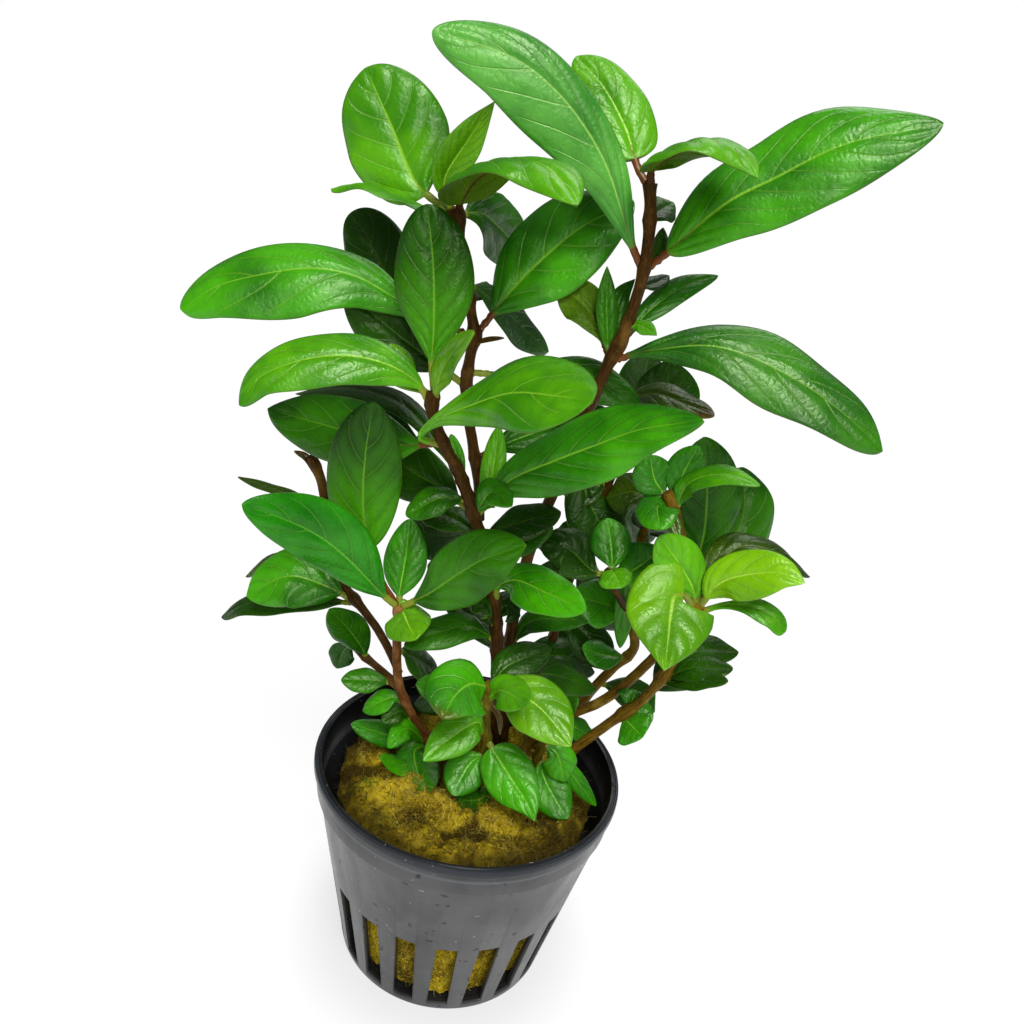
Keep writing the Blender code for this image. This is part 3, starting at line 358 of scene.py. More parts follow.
# Leaves that are too small or too hidden for the solids; the dark_fill leaves fill the inside of the
# clump in the dark tone, which is partly painted shade
EXTRA = on_stems(
    "tall_stem",
    small("tall_hidden", "640,290 655,283 669,276", 8, 2.8, 50, "dark", rib="red"),
    small("dark_fill_d", "508,670 560,655 594,672", 8, 9, 30, "dark"),
    small("dark_fill_g", "516,600 548,586 560,560", 10, 9, 45, "dark"),
    small("dark_fill_i", "506,700 470,720 448,740", 3, 7, 30, "dark"),
    "left_stem",
    small("left_curl", "335,556 272,560 246,577", 4, 3.2, 30, "olive", under="red_rib"),
    "back_stem",
    small("back_hidden_left", "608,485 586,493 562,490", -1, 5, 40, "dark"),
    small("dark_fill_e", "560,612 590,640 612,668", -4, 8, 40, "dark"),
    small("dark_fill_j", "590,522 575,540 590,570", 10, 9, 45, "dark"),
    small("dark_fill_k", "572,570 600,600 628,625", 8, 9, 45, "dark"),
    small("dark_fill_l", "598,505 628,515 655,535", 14, 10, 45, "dark"),
    small("dark_fill_m", "545,668 575,640 600,630", 9, 10, 45, "dark"),
    small("dark_fill_p", "530,725 560,700 590,690", 6, 9, 45, "dark"),
    "right_stem_3",
    small("right_curl", "648,520 625,612 620,648", -1, 4.5, 40),
    small("dark_fill_h", "600,682 640,700 622,720", 4, 7, 40, "dark"),
    "right_stem_1",
    small("dried_strip", "670,503 673,520 679,538", -3, 2.6, 65, "olive", wave=0.1, under="red_rib"),
    "front_stem",
    small("front_tip_right", "488,697 500,690 528,705", -11, 6.2, 50, "bright"),
    small("brown_twig", "490,700 499,716 500,735", -2, 0.9, 40, "twig", cup=0, wave=0, under="twig"),
    "front_left_stem",
    small("low_green", "431,750 404,765 380,758", -13, 4.6, 30),
    small("low_dark", "411,716 400,711 382,722", -4, 4, 35, "dark"),
    small("dark_fill_a", "399,650 412,656 438,672", 6, 8, 30, "dark"),
    "centre_stem",
    small("dark_fill_b", "494,690 460,690 414,704", 8, 8, 30, "dark"),
    small("dark_fill_c", "493,620 505,605 520,616", 3, 6, 30, "dark"),
    small("dark_fill_f", "492,585 462,560 428,566", 12, 9, 40, "dark"),
    small("dark_fill_n", "480,530 440,536 405,525", 12, 9, 45, "dark"),
    "right_stem_2",
    small("dark_fill_o", "650,694 680,668 712,660", 3, 8, 40, "dark"),
)

# Upper face: deep and bright blade, veins
TONES = {
    "green": ((0.010, 0.120, 0.0005), (0.056, 0.350, 0.0010), (0.18, 0.42, 0.020)),
    "fir": ((0.006, 0.080, 0.0010), (0.040, 0.210, 0.0040), (0.14, 0.32, 0.025)),
    "pure": ((0.003, 0.110, 0.0005), (0.018, 0.250, 0.0010), (0.10, 0.34, 0.015)),
    # a bright green with a bluish cast, a painted sheen on a leaf that faces the viewer
    "cool": ((0.022, 0.180, 0.0120), (0.105, 0.390, 0.0450), (0.25, 0.46, 0.080)),
    "bright": ((0.025, 0.180, 0.0005), (0.105, 0.390, 0.0010), (0.25, 0.50, 0.030)),
    "fresh": ((0.055, 0.215, 0.0005), (0.150, 0.390, 0.0010), (0.29, 0.51, 0.040)),
    "lime": ((0.100, 0.300, 0.0010), (0.220, 0.500, 0.0040), (0.37, 0.58, 0.060)),
    "deep": ((0.006, 0.058, 0.0005), (0.032, 0.180, 0.0008), (0.10, 0.27, 0.012)),
    # shade: upright leaves painted light at the foot and dark towards the tip, painted light and shade
    "shade": ((0.003, 0.034, 0.0004), (0.056, 0.290, 0.0008), (0.11, 0.29, 0.010)),
    # dark: a deeper green of the leaves' own, darkened further as painted shade for leaves deep in the
    # clump
    "dark": ((0.005, 0.030, 0.0004), (0.018, 0.085, 0.0006), (0.050, 0.13, 0.006)),
    "olive": ((0.012, 0.038, 0.0005), (0.045, 0.095, 0.0008), (0.10, 0.16, 0.008)),
    "twig": ((0.060, 0.028, 0.0030), (0.140, 0.075, 0.0080), (0.18, 0.10, 0.02)),
}
# Leaf stalk and the foot of its midrib
STALKS = {"green": (0.20, 0.24, 0.02), "red": (0.13, 0.035, 0.008)}
# Underside: plain and shaded blade, veins, midrib near the stalk
UNDERS = {
    "pale": ((0.095, 0.26, 0.006), (0.050, 0.17, 0.003), (0.18, 0.36, 0.03), (0.18, 0.20, 0.03)),
    "red_rib": ((0.085, 0.17, 0.003), (0.040, 0.10, 0.002), (0.13, 0.22, 0.010), (0.060, 0.018, 0.006)),
    "twig": ((0.06, 0.028, 0.005), (0.14, 0.075, 0.012), (0.18, 0.10, 0.02), (0.06, 0.03, 0.01)),
}
BARKS = {
    "red": ((0.024, 0.009, 0.001), (0.070, 0.028, 0.003), (0.14, 0.070, 0.012)),
    "rosy": ((0.070, 0.022, 0.005), (0.19, 0.070, 0.018), (0.30, 0.14, 0.045)),
    "tan": ((0.080, 0.040, 0.003), (0.19, 0.110, 0.008), (0.30, 0.21, 0.03)),
    "olive": ((0.055, 0.042, 0.002), (0.13, 0.110, 0.006), (0.22, 0.19, 0.02)),
}
STEM = {stem.name: stem for stem in STEMS}


# Sight lines and lines in space, as in the solids

def view_axes():
    """Right, up and forward of the photograph's view."""
    pitch, roll = radians(PITCH), radians(ROLL)
    level = np.array([1.0, 0, 0])
    rise = np.array([0, sin(pitch), cos(pitch)])
    right = cos(roll) * level + sin(roll) * rise
    up = -sin(roll) * level + cos(roll) * rise
    return right, up, np.array([0, cos(pitch), -sin(pitch)])


RIGHT, UP, FORWARD = view_axes()


def numbers(text):
    """Rows of numbers from words such as 501,772,10.5."""
    return np.array([[float(part) for part in word.split(",")] for word in text.split()])


def seen_at(x, y, depth):
    """Point in mm that shows at pixel (x, y) and lies in the plane Y = depth."""
    ray = FORWARD + (x - CENTRE) / FOCAL * RIGHT - (y - CENTRE) / FOCAL * UP
    return EYE + ray * (depth - EYE[1]) / ray[1]


def shows_at(point):
    """Pixel at which a point in mm shows."""
    ray = point - EYE
    away = ray @ FORWARD
    return np.array([CENTRE + FOCAL * (ray @ RIGHT) / away, CENTRE - FOCAL * (ray @ UP) / away])


def unit(vectors):
    return vectors / np.linalg.norm(vectors, axis=-1, keepdims=True)


def run_of(line):
    """Distance along a line at each of its points."""
    return np.concatenate([[0], np.cumsum(np.linalg.norm(np.diff(line, axis=0), axis=1))])


def at(wanted, known, rows):
    """Values at the wanted places, between rows that lie at the known ones."""
    return np.stack([np.interp(wanted, known, rows[:, axis]) for axis in range(3)], axis=1)


def smooth_line(points, count):
    """Points evenly spaced along a smooth curve through the given ones (centripetal Catmull-Rom)."""
    points = np.asarray(points, float)
    knots = np.vstack([2 * points[0] - points[1], points, 2 * points[-1] - points[-2]])
    dense = []
    for a, b, c, d in zip(knots[:-3], knots[1:-2], knots[2:-1], knots[3:]):
        times = np.cumsum([0.0] + [np.linalg.norm(q - p) ** 0.5 for p, q in ((a, b), (b, c), (c, d))])
        t = np.linspace(times[1], times[2], 12, endpoint=False)[:, None]

        def between(one, other, low, high):
            return ((times[high] - t) * one + (t - times[low]) * other) / (times[high] - times[low])
        ab, bc, cd = between(a, b, 0, 1), between(b, c, 1, 2), between(c, d, 2, 3)
        dense.append(between(between(ab, bc, 0, 2), between(bc, cd, 1, 3), 1, 2))
    dense = np.vstack(dense + [points[-1:]])
    run = run_of(dense)
    return at(np.linspace(0, run[-1], count), run, dense)


def stem_line(stem, spacing=0.7):
    points = np.array([seen_at(*row) for row in numbers(stem.points)])
    return smooth_line(points, round(run_of(points)[-1] / spacing) + 1)


def where_on_stem(stem, pixel):
    """Place of a stem nearest to a pixel: the point, the stem's direction, its radius and its share."""
    line = smooth_line(stem_line(stem, 6.5), 120)
    index = int(np.argmin([np.linalg.norm(shows_at(point) - pixel) for point in line]))
    share = index / (len(line) - 1)
    along = unit(line[min(index + 1, len(line) - 1)] - line[max(index - 1, 0)])
    return line[index], along, stem.foot_radius + (stem.top_radius - stem.foot_radius) * share, share


def midrib(leaf):
    """Midrib of a leaf in mm as a fine line, from inside the stem that it grows from to its tip."""
    pixels = numbers(leaf.seen)
    foot, along, radius, _ = where_on_stem(STEM[leaf.stem], pixels[0])
    run = run_of(pixels)
    points = [foot] + [seen_at(x, y, foot[1] + leaf.depth * share)
                       for (x, y), share in zip(pixels[1:], run[1:] / run[-1])]
    outward = points[1] - foot
    points[0] = foot + unit(outward - outward @ along * along) * 0.6 * radius
    return smooth_line(points, MIDRIB_POINTS)


# Meshes

NONE = -1                  # stands for the fourth corner of a triangle


def put_in_scene(name, data):
    obj = bpy.data.objects.new(name, data)
    bpy.context.scene.collection.objects.link(obj)
    return obj


class Pile:
    """Points, faces, blade coordinates and material numbers of one piece, in mm until it is made."""

    def __init__(self, name):
        self.name = name
        self.points, self.faces, self.marks, self.slots = [], [], [], []
        self.count = 0

    def add(self, points, faces, marks, slots=0):
        """faces has four corners a row, NONE where there are three; marks has (u, v) for each point."""
        points = np.asarray(points, float).reshape(-1, 3)
        self.points.append(points)
        self.faces.append(np.where(faces == NONE, NONE, faces + self.count))
        self.marks.append(np.asarray(marks, float).reshape(-1, 2))
        self.slots.append(np.broadcast_to(slots, len(faces)))
        self.count += len(points)

    def make(self, materials, slot, *nodes):
        mesh = bpy.data.meshes.new(self.name)
        points, faces = np.vstack(self.points) * MM, np.vstack(self.faces)
        corners, sizes = faces[faces != NONE], (faces != NONE).sum(axis=1)
        mesh.vertices.add(len(points))
        mesh.vertices.foreach_set("co", points.ravel())
        mesh.loops.add(len(corners))
        mesh.loops.foreach_set("vertex_index", corners.astype(np.int32))
        mesh.polygons.add(len(faces))
        mesh.polygons.foreach_set("loop_start", (np.cumsum(sizes) - sizes).astype(np.int32))
        mesh.polygons.foreach_set("material_index", np.concatenate(self.slots).astype(np.int32))
        for material in materials:
            mesh.materials.append(material)
        mesh.update(calc_edges=True)
        layer = mesh.uv_layers.new(name="Blade")
        layer.data.foreach_set("uv", np.vstack(self.marks)[corners].ravel())
        mesh.shade_smooth()
        obj = put_in_scene(self.name, mesh)
        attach(obj, "root")
        if nodes:
            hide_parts(*nodes)


def grid_faces(rows, columns, first=0, flip=False, closed=False):
    """Quads of a grid of points, rows by columns; closed joins the last column to the first."""
    row, column = np.meshgrid(np.arange(rows - 1), np.arange(columns if closed else columns - 1),
                              indexing="ij")
    a = row * columns + column
    b = row * columns + (column + 1) % columns
    quads = np.stack([a, b, b + columns, a + columns], axis=-1).reshape(-1, 4) + first
    return quads[:, ::-1] if flip else quads


def strip(edge, step, flip):
    """Quads between a row of points and the row that lies step further."""
    quads = np.stack([edge[:-1], edge[1:], edge[1:] + step, edge[:-1] + step], axis=1)
    return quads[:, ::-1] if flip else quads


def fan(ring, middle):
    """Triangles from the sides of a ring to its middle point."""
    return [[a, b, middle, NONE] for a, b in ring]


def ease(low, high, value):
    """0 at low, 1 at high and smooth between them."""
    t = np.clip((value - low) / (high - low), 0, 1)
    return t * t * (3 - 2 * t)


def circle(angle):
    """Outward directions in the plane of the floor."""
    return np.stack([np.cos(angle), np.sin(angle), np.zeros(len(angle))], axis=1)


# Leaves

def blade_half(leaf, share):
    """Half of a leaf's width at shares of its blade's length."""
    share = np.clip(share, 0, 1)
    swell = np.clip(np.sin(pi * share ** (log(0.5) / log(leaf.peak))), 0, 1)
    blade = 0.5 * leaf.width * swell ** np.where(share < leaf.peak, leaf.foot, leaf.tip)
    return np.hypot(blade, 0.5 * PETIOLE * (1 - share)) + 0.02


def add_leaf(pile, leaf, slot=0):
    """A blade with a sunken midrib, cushions between its side veins, a keel below and a wavy margin."""
    rows, columns, stalk_rows = LARGE_GRID if leaf.own else SMALL_GRID
    line = midrib(leaf)
    stalk = leaf.stalk / run_of(line)[-1] if leaf.own else SMALL_STALK
    turns = np.concatenate([np.linspace(-1, 0, stalk_rows, endpoint=False),
                            0.5 - 0.5 * np.cos(pi * np.linspace(0, 1, rows))])
    share = np.where(turns < 0, stalk * (1 + turns), stalk + (1 - stalk) * turns)
    index, known = share * (len(line) - 1), np.arange(len(line))
    centre = at(index, known, line)
    along = unit(at(index, known, np.gradient(line, axis=0)))
    front, right = radians(leaf.front), radians(leaf.side)
    lean = np.array([sin(right), -sin(front), cos(front)])
    normal = unit(lean - (along @ lean)[:, None] * along)
    across = np.cross(along, normal)

    # u runs from the blade's foot to its tip, c from its left margin at -1 to its right one at 1
    half = np.where(turns < 0, 0.5 * PETIOLE + 0.02, blade_half(leaf, turns))[:, None]
    spread = np.linspace(-1, 1, columns)
    u, c = np.meshgrid(turns, np.sign(spread) * np.abs(spread) ** 1.25, indexing="ij")
    w = np.abs(c)
    side = c * half * (1 + np.where(c < 0, leaf.skew, -leaf.skew) * np.sin(pi * np.clip(u, 0, 1)))
    blade = ease(0.0, 0.1, u)
    phase = (u - VEIN_RISE * w ** 1.3) * leaf.veins + np.where(c > 0, 0.5, 0.0)
    cushion = np.abs(np.sin(pi * phase)) ** 0.7 * ease(0.03, 0.3, w) * ease(1.0, 0.72, w)
    scale = leaf.width / MEAN_WIDTH
    start = 0.13 * (sum(map(ord, leaf.name)) % 97)
    lift = tan(radians(leaf.fold)) * (np.sqrt(side ** 2 + 0.16) - 0.4)
    lift -= leaf.cup * half * w ** 2.2
    lift += leaf.wave * scale * w ** 3 * np.sin(2 * pi * (u * WAVES + start) + (c > 0) * 1.9)
    lift += 0.26 * scale * cushion * blade * ease(1.0, 0.9, u)
    lift -= 0.22 * np.exp(-(side / 0.45) ** 2) * blade * ease(1.0, 0.5, u)
    plate = (0.05 + 0.14 * (1 - w ** 4)) * (0.6 + 0.4 * scale)
    keel = 0.5 * scale * np.exp(-(side / 0.42) ** 2) * ease(1.0, 0.1, u)
    round_stalk = 0.5 * np.sqrt(np.clip(1 - c ** 2, 0, 1)) * (1 - blade)
    above = plate * blade + 0.6 * round_stalk
    below = (plate + keel) * blade + round_stalk
    level = centre[:, None] + across[:, None] * side[:, :, None]
    faces = [(level + normal[:, None] * height[:, :, None]).reshape(-1, 3)
             for height in (lift + above, lift - below)]

    lines, size = len(turns), len(turns) * columns
    sheet = grid_faces(lines, columns)
    under = grid_faces(lines, columns, size, flip=True)
    left, tip = np.arange(lines) * columns, np.arange(columns)
    rim = [strip(left, size, False), strip(left + columns - 1, size, True),
           strip(tip, size, True), strip(tip + size - columns, size, False)]
    slots = np.full(2 * len(sheet) + sum(map(len, rim)), slot)
    slots[len(sheet):2 * len(sheet)] += 1
    marks = np.stack([u, 0.5 + 0.5 * c], axis=-1)
    pile.add(faces, np.vstack([sheet, under] + rim), [marks, marks], slots)


def build_leaves():
    for leaf in LEAVES:
        if leaf.own:
            pile = Pile(leaf.name + "_blade")
            add_leaf(pile, leaf)
            pile.make(blade_materials(leaf), "leaf_green", leaf.name)


# Stems

def add_stem(pile, stem):
    """A tube that swells at its nodes, where leaves grow, and thins evenly between them."""
    line = stem_line(stem)
    rows = len(line)
    share = np.linspace(0, 1, rows)
    run = share * run_of(line)[-1]
    radius = stem.foot_radius + (stem.top_radius - stem.foot_radius) * share
    nodes = {round(where_on_stem(stem, numbers(leaf.seen)[0])[3] * run[-1], 1)
             for leaf in LEAVES if leaf.stem == stem.name}
    for away in (run - node for node in sorted(nodes)):
        radius = radius + 0.16 * np.exp(-(away / 1.3) ** 2) + 0.10 * np.exp(-(away / 0.45) ** 2)
    radius = np.minimum(radius, 1.35 * stem.foot_radius + 0.25)
    along = unit(np.gradient(line, axis=0))
    first = unit(np.cross(along, [0, 1.0, 0.2]))
    second = np.cross(along, first)
    angle = np.linspace(0, 2 * pi, STEM_SIDES, endpoint=False)
    ridges = 1 + 0.035 * np.cos(4 * angle) + 0.02 * np.sin(run[:, None] * 1.7 + 3 * angle)
    reach = radius[:, None] * ridges
    points = (line[:, None] + first[:, None] * (reach * np.cos(angle))[:, :, None]
              + second[:, None] * (reach * np.sin(angle))[:, :, None])
    marks = np.stack(np.broadcast_arrays(run[:, None] / 10, angle / (2 * pi)), axis=-1)
    pile.add(points, grid_faces(rows, STEM_SIDES, closed=True, flip=True), marks)
    around = np.arange(STEM_SIDES) + STEM_SIDES
    cap = np.vstack([grid_faces(2, STEM_SIDES, closed=True),
                     fan(zip(around, np.roll(around, -1)), 2 * STEM_SIDES)])
    for row, rise in ((0, -0.1), (rows - 1, 0.35 * radius[-1])):
        rise = along[row] * rise
        inner = 0.55 * points[row] + 0.45 * line[row] + 0.25 * rise
        pile.add(np.vstack([points[row], inner, line[row] + rise]), cap[:, ::-1] if row else cap,
                 np.tile([run[row] / 10, 0.5], (2 * STEM_SIDES + 1, 1)))


def build_stems():
    for stem in STEMS:
        pile = Pile(stem.name + "_shoot")
        add_stem(pile, stem)
        materials = [stem_material(stem.bark)]
        for leaf in LEAVES + EXTRA:
            if leaf.stem == stem.name and not leaf.own:
                pair = blade_materials(leaf)
                start = materials.index(pair[0]) if pair[0] in materials else -1
                if materials[start:start + 2] != pair:
                    start = len(materials)
                    materials += pair
                add_leaf(pile, leaf, start)
        pile.make(materials, "stem_skin", stem.name)


# Pot

def build_pot():
    """A turned shell with a stepped collar and a lip of two lines, cut by slots."""
    wall_top, inner = COLLAR_RADIUS - STEP, BASE_RADIUS - WALL
    profile = [(0, 0.3), (BASE_RADIUS - 1.6, 0.3), (BASE_RADIUS - 1.2, 0), (BASE_RADIUS - 0.5, 0),
               (BASE_RADIUS - 0.15, 0.12), (BASE_RADIUS, 0.5)]
    profile += [(wall_top + out, COLLAR_FOOT + up) for out, up in
                ((0, -0.35), (0.08, -0.15), (STEP - 0.05, 0), (STEP, 0.15))]
    profile += [(COLLAR_RADIUS + 0.2, POT_HEIGHT - 1.75), (COLLAR_RADIUS + 0.32, POT_HEIGHT - 1.6)]
    profile += [(RIM_RADIUS - inside, POT_HEIGHT - down) for inside, down in
                ((0.12, 1.45), (0, 1.25), (0, 0.45), (0.08, 0.15), (0.32, 0.02), (0.48, 0.02),
                 (0.60, 0.26), (0.76, 0.26), (0.88, 0.04))]
    profile += [(LIP_RADIUS + 0.12, POT_HEIGHT - 0.05), (LIP_RADIUS, POT_HEIGHT - 0.2),
                (LIP_RADIUS - 0.25, COLLAR_FOOT + 0.4), (wall_top - WALL, COLLAR_FOOT - 0.8),
                (inner + 0.1, FLOOR_TOP + 0.5), (inner - 0.4, FLOOR_TOP), (0, FLOOR_TOP)]
    work = bmesh.new()
    verts = [work.verts.new((radius * MM, 0, height * MM)) for radius, height in reversed(profile)]
    edges = [work.edges.new(pair) for pair in zip(verts, verts[1:])]
    bmesh.ops.spin(work, geom=verts + edges, cent=(0, 0, 0), axis=(0, 0, 1), angle=2 * pi,
                   steps=POT_SIDES, use_merge=True, use_duplicate=False)
    bmesh.ops.remove_doubles(work, verts=work.verts, dist=1e-6)
    bmesh.ops.recalc_face_normals(work, faces=work.faces)
    shell, cutter = finished(work, "net_pot_shell"), slot_cutters()
    cut = shell.modifiers.new("Slots", "BOOLEAN")
    cut.object, cut.solver = cutter, "EXACT"
    soften = shell.modifiers.new("Edges", "BEVEL")
    soften.width, soften.segments, soften.limit_method = EDGE_SOFTNESS * MM, 2, "ANGLE"
    soften.angle_limit = radians(50)
    bpy.context.view_layer.update()
    mesh = bpy.data.meshes.new_from_object(shell.evaluated_get(bpy.context.evaluated_depsgraph_get()))
    bpy.data.objects.remove(shell)
    bpy.data.objects.remove(cutter)
    mesh.shade_smooth()
    mesh.set_sharp_from_angle(angle=radians(32))
    mesh.materials.clear()
    mesh.materials.append(pot_material())
    pot = put_in_scene("net_pot_shell", mesh)
    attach(pot, "root")
    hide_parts("net_pot")


def finished(work, name):
    """An object from a bmesh that is no longer needed."""
    mesh = bpy.data.meshes.new(name)
    work.to_mesh(mesh)
    work.free()
    return put_in_scene(name, mesh)


def slot_cutters():
    """All the boxes through the wall in one mesh."""
    work = bmesh.new()
    height, middle = SLOT_TOP - SLOT_FOOT, 0.5 * (SLOT_TOP + SLOT_FOOT)
    radius = BASE_RADIUS + WALL_SLOPE * middle
    for index in range(SLOT_COUNT):
        angle = radians(SLOT_FIRST) + 2 * pi * index / SLOT_COUNT
        place = (Matrix.Rotation(angle, 4, "Z") @ Matrix.Translation((radius * MM, 0, middle * MM))
                 @ Matrix.Diagonal((CUT_DEPTH * MM, SLOT_WIDTH * MM, height * MM, 1)))
        bmesh.ops.create_cube(work, size=1, matrix=place)
    return finished(work, "slots")


# Plug and its fibres

def fine_lumps(x, y, z=0.0):
    """Small unevenness of the fibre, mm."""
    return (0.30 * np.sin(1.9 * x + 0.7 * y + z) * np.sin(1.6 * y - 0.9 * x + 1.3 * z)
            + 0.18 * np.sin(4.3 * x + 2.0 * z + 1) * np.sin(3.9 * y + 0.5)
            + 0.10 * np.sin(9.1 * x - 5.0 * y) * np.sin(8.3 * y + 6.0 * x + 3.0 * z))


def clumps(x, y):
    """Rounded tufts of moss and the hollows between them, mm."""
    away = np.min([np.hypot(x - east, y - north) / reach for east, north, reach in TUFTS], axis=0)
    return 0.9 * ease(1.15, 0.2, away) - 2.4 * ease(0.85, 1.4, away)


def plug_rim(angle):
    return 1 + 0.018 * np.sin(3 * angle + 1) + 0.012 * np.sin(7 * angle)


def plug_point(share, angle):
    """Points on the top of the plug, a low mound with lumps and tufts, at a share of its radius."""
    reach = PLUG_RADIUS * plug_rim(angle) * share
    x, y = reach * np.cos(angle), reach * np.sin(angle)
    mound = PLUG_TOP - 1.4 * (x * x + y * y) / 22.0 ** 2 - 1.2 * ease(0.9, 1.0, share)
    lumps = 0.5 * np.sin(0.55 * x + 0.4) * np.cos(0.48 * y) + 0.35 * np.sin(0.9 * y - 0.5 * x)
    tuft = clumps(x, y) * ease(1.0, 0.93, share)
    return np.stack([x, y, mound + lumps + tuft + fine_lumps(x, y)], axis=-1)


def side_point(height, angle):
    """Points on the side of the plug, which follows the pot's wall."""
    reach = BASE_RADIUS - WALL - PLUG_WALL_GAP + WALL_SLOPE * height - 0.4
    reach = reach * (1 + 0.5 * (plug_rim(angle) - 1.03))
    reach = reach + 1.1 * fine_lumps(11 * np.cos(angle), 11 * np.sin(angle), 0.45 * height)
    return np.stack([reach * np.cos(angle), reach * np.sin(angle), height], axis=-1)


def build_plug():
    angle = np.linspace(0, 2 * pi, PLUG_SIDES, endpoint=False)
    every = np.ones(PLUG_SIDES)
    rings = [plug_point(share * every, angle) for share in np.linspace(0.01, 1, TOP_RINGS)]
    rings += [side_point(height * every, angle)
              for height in np.linspace(PLUG_SHOULDER, PLUG_FOOT, SIDE_RINGS)]
    count = len(rings) * PLUG_SIDES
    points = np.vstack(rings + [plug_point(np.zeros(1), np.zeros(1)), [[0, 0, PLUG_FOOT]]])
    around = np.arange(PLUG_SIDES)
    onward = np.roll(around, -1)
    last = count - PLUG_SIDES
    faces = np.vstack([grid_faces(len(rings), PLUG_SIDES, closed=True, flip=True),
                       fan(zip(onward, around), count),
                       fan(zip(last + around, last + onward), count + 1)])
    x, y, z = points.T
    high = np.where(z > PLUG_SHOULDER + 0.1, 0.5 + 0.25 * clumps(x, y), 0.6)
    pile = Pile("plug_mass")
    pile.add(points, faces, np.stack([high, np.zeros(len(points))], axis=1))
    pile.make([plug_material()], "plug_fibre", "plug")


def add_fibres(pile, roots, out, lengths, thick, curl, chance, slot):
    """Thin bent hairs from root points, each a three-sided prism of five rings."""
    count = len(roots)
    steps = np.linspace(0, 1, HAIR_RINGS)
    bend = chance.normal(size=(count, 3))
    bend = unit(bend - (bend * out).sum(1)[:, None] * out)
    side = np.cross(out, bend)
    sway = chance.uniform(-1, 1, count)[:, None] * np.sin(pi * 1.5 * steps) * 0.35
    lengths = lengths[:, None]
    path = roots[:, None] + sum(way[:, None] * reach[:, :, None] for way, reach in (
        (out, lengths * steps * (1 - 0.35 * curl * steps)), (bend, curl * lengths * steps ** 2),
        (side, curl * lengths * sway)))
    radius = 0.5 * thick * (1 - 0.7 * steps)[None, :, None]
    turns = [2 * pi * corner / HAIR_SIDES for corner in range(HAIR_SIDES)]
    points = np.stack([path + radius * (cos(turn) * side + sin(turn) * bend)[:, None]
                       for turn in turns], axis=2)
    size = HAIR_RINGS * HAIR_SIDES
    faces = grid_faces(HAIR_RINGS, HAIR_SIDES, closed=True) + size * np.arange(count)[:, None, None]
    marks = np.stack([np.repeat(np.tile(steps, count), HAIR_SIDES),
                      np.repeat(chance.random(count), size)], axis=-1)
    pile.add(points, faces.reshape(-1, 4), marks, slot)


def build_fibres():
    """Curly hairs on the tufts, a few over the pot's rim, and shorter ones behind the slots."""
    chance = np.random.default_rng(7)
    materials = [fibre_material(name, colour) for name, colour in FIBRES]
    pile = Pile("plug_top_fibres")
    count = TOP_FIBRES
    angle = chance.uniform(0, 2 * pi, count)
    roots = plug_point(np.sqrt(chance.uniform(0.01, 1, count)), angle)
    x, y = roots[:, 0], roots[:, 1]
    out = chance.normal(size=(count, 3)) * [1, 1, 0.5]
    out[:, 2] = np.abs(out[:, 2]) + 0.15
    out = unit(out)
    lengths = chance.uniform(0.9, 3.0, count)
    lengths = np.minimum(lengths, np.maximum(HAIR_REACH - np.hypot(x, y), 0.5))
    golden = chance.random(count) < 0.30 + 0.35 * ease(0.0, 0.9, clumps(x, y))
    kinds = np.where(golden, GOLD, chance.integers(0, 2, count))
    mossy = np.any([np.hypot(x - east, y - north) < reach for east, north, reach in MOSS], axis=0)
    kinds = np.where(mossy & (chance.random(count) < 0.8), GREEN, kinds)
    lengths = np.where(kinds == GREEN, 0.55, 1.0) * lengths
    for kind, thick in enumerate(FIBRE_WIDTHS):
        pick = kinds == kind
        add_fibres(pile, roots[pick] - [0, 0, 0.1], out[pick], lengths[pick], thick, 0.7, chance, kind)

    count = EDGE_FIBRES
    outward = circle(EDGE_SIDE + EDGE_SPREAD * chance.normal(size=count) * 0.5)
    roots = outward * chance.uniform(22.5, 25.0, count)[:, None] + [0, 0, EDGE_HEIGHT]
    out = unit(outward * 0.8 + chance.normal(size=(count, 3)) * 0.35 + [0, 0, 0.75])
    add_fibres(pile, roots, out, chance.uniform(1.0, 2.4, count), 0.10, 0.8, chance, GOLD)
    pile.make(materials, "plug_fibre")

    pile = Pile("plug_side_fibres")
    count = SIDE_FIBRES
    angle = chance.uniform(0, 2 * pi, count)
    roots = side_point(chance.uniform(2.2, 20, count), angle)
    outward = circle(angle)
    out = 0.25 * outward + chance.normal(size=(count, 3)) * 0.7
    out = unit(out - np.minimum(0, (out * outward).sum(1))[:, None] * outward)
    lengths = chance.uniform(0.6, 1.8, count)
    for kind in range(3):
        pick = np.arange(count) % 3 == kind
        add_fibres(pile, roots[pick], out[pick], lengths[pick], 0.11, 0.5, chance, kind)
    pile.make(materials, "plug_fibre")


# Materials

class Value:
    """A socket of a material's nodes, so that sums of such values can be written as sums."""

    def __init__(self, tree, socket):
        self.tree, self.socket = tree, socket

    def __add__(self, other):
        return self.tree.math("ADD", self, other)

    def __sub__(self, other):
        return self.tree.math("SUBTRACT", self, other)

    def __rsub__(self, other):
        return self.tree.math("SUBTRACT", other, self)

    def __mul__(self, other):
        return self.tree.math("MULTIPLY", self, other)

    def __pow__(self, power):
        return self.tree.math("POWER", self, power)

    def __abs__(self):
        return self.tree.math("ABSOLUTE", self)

    __radd__, __rmul__ = __add__, __mul__


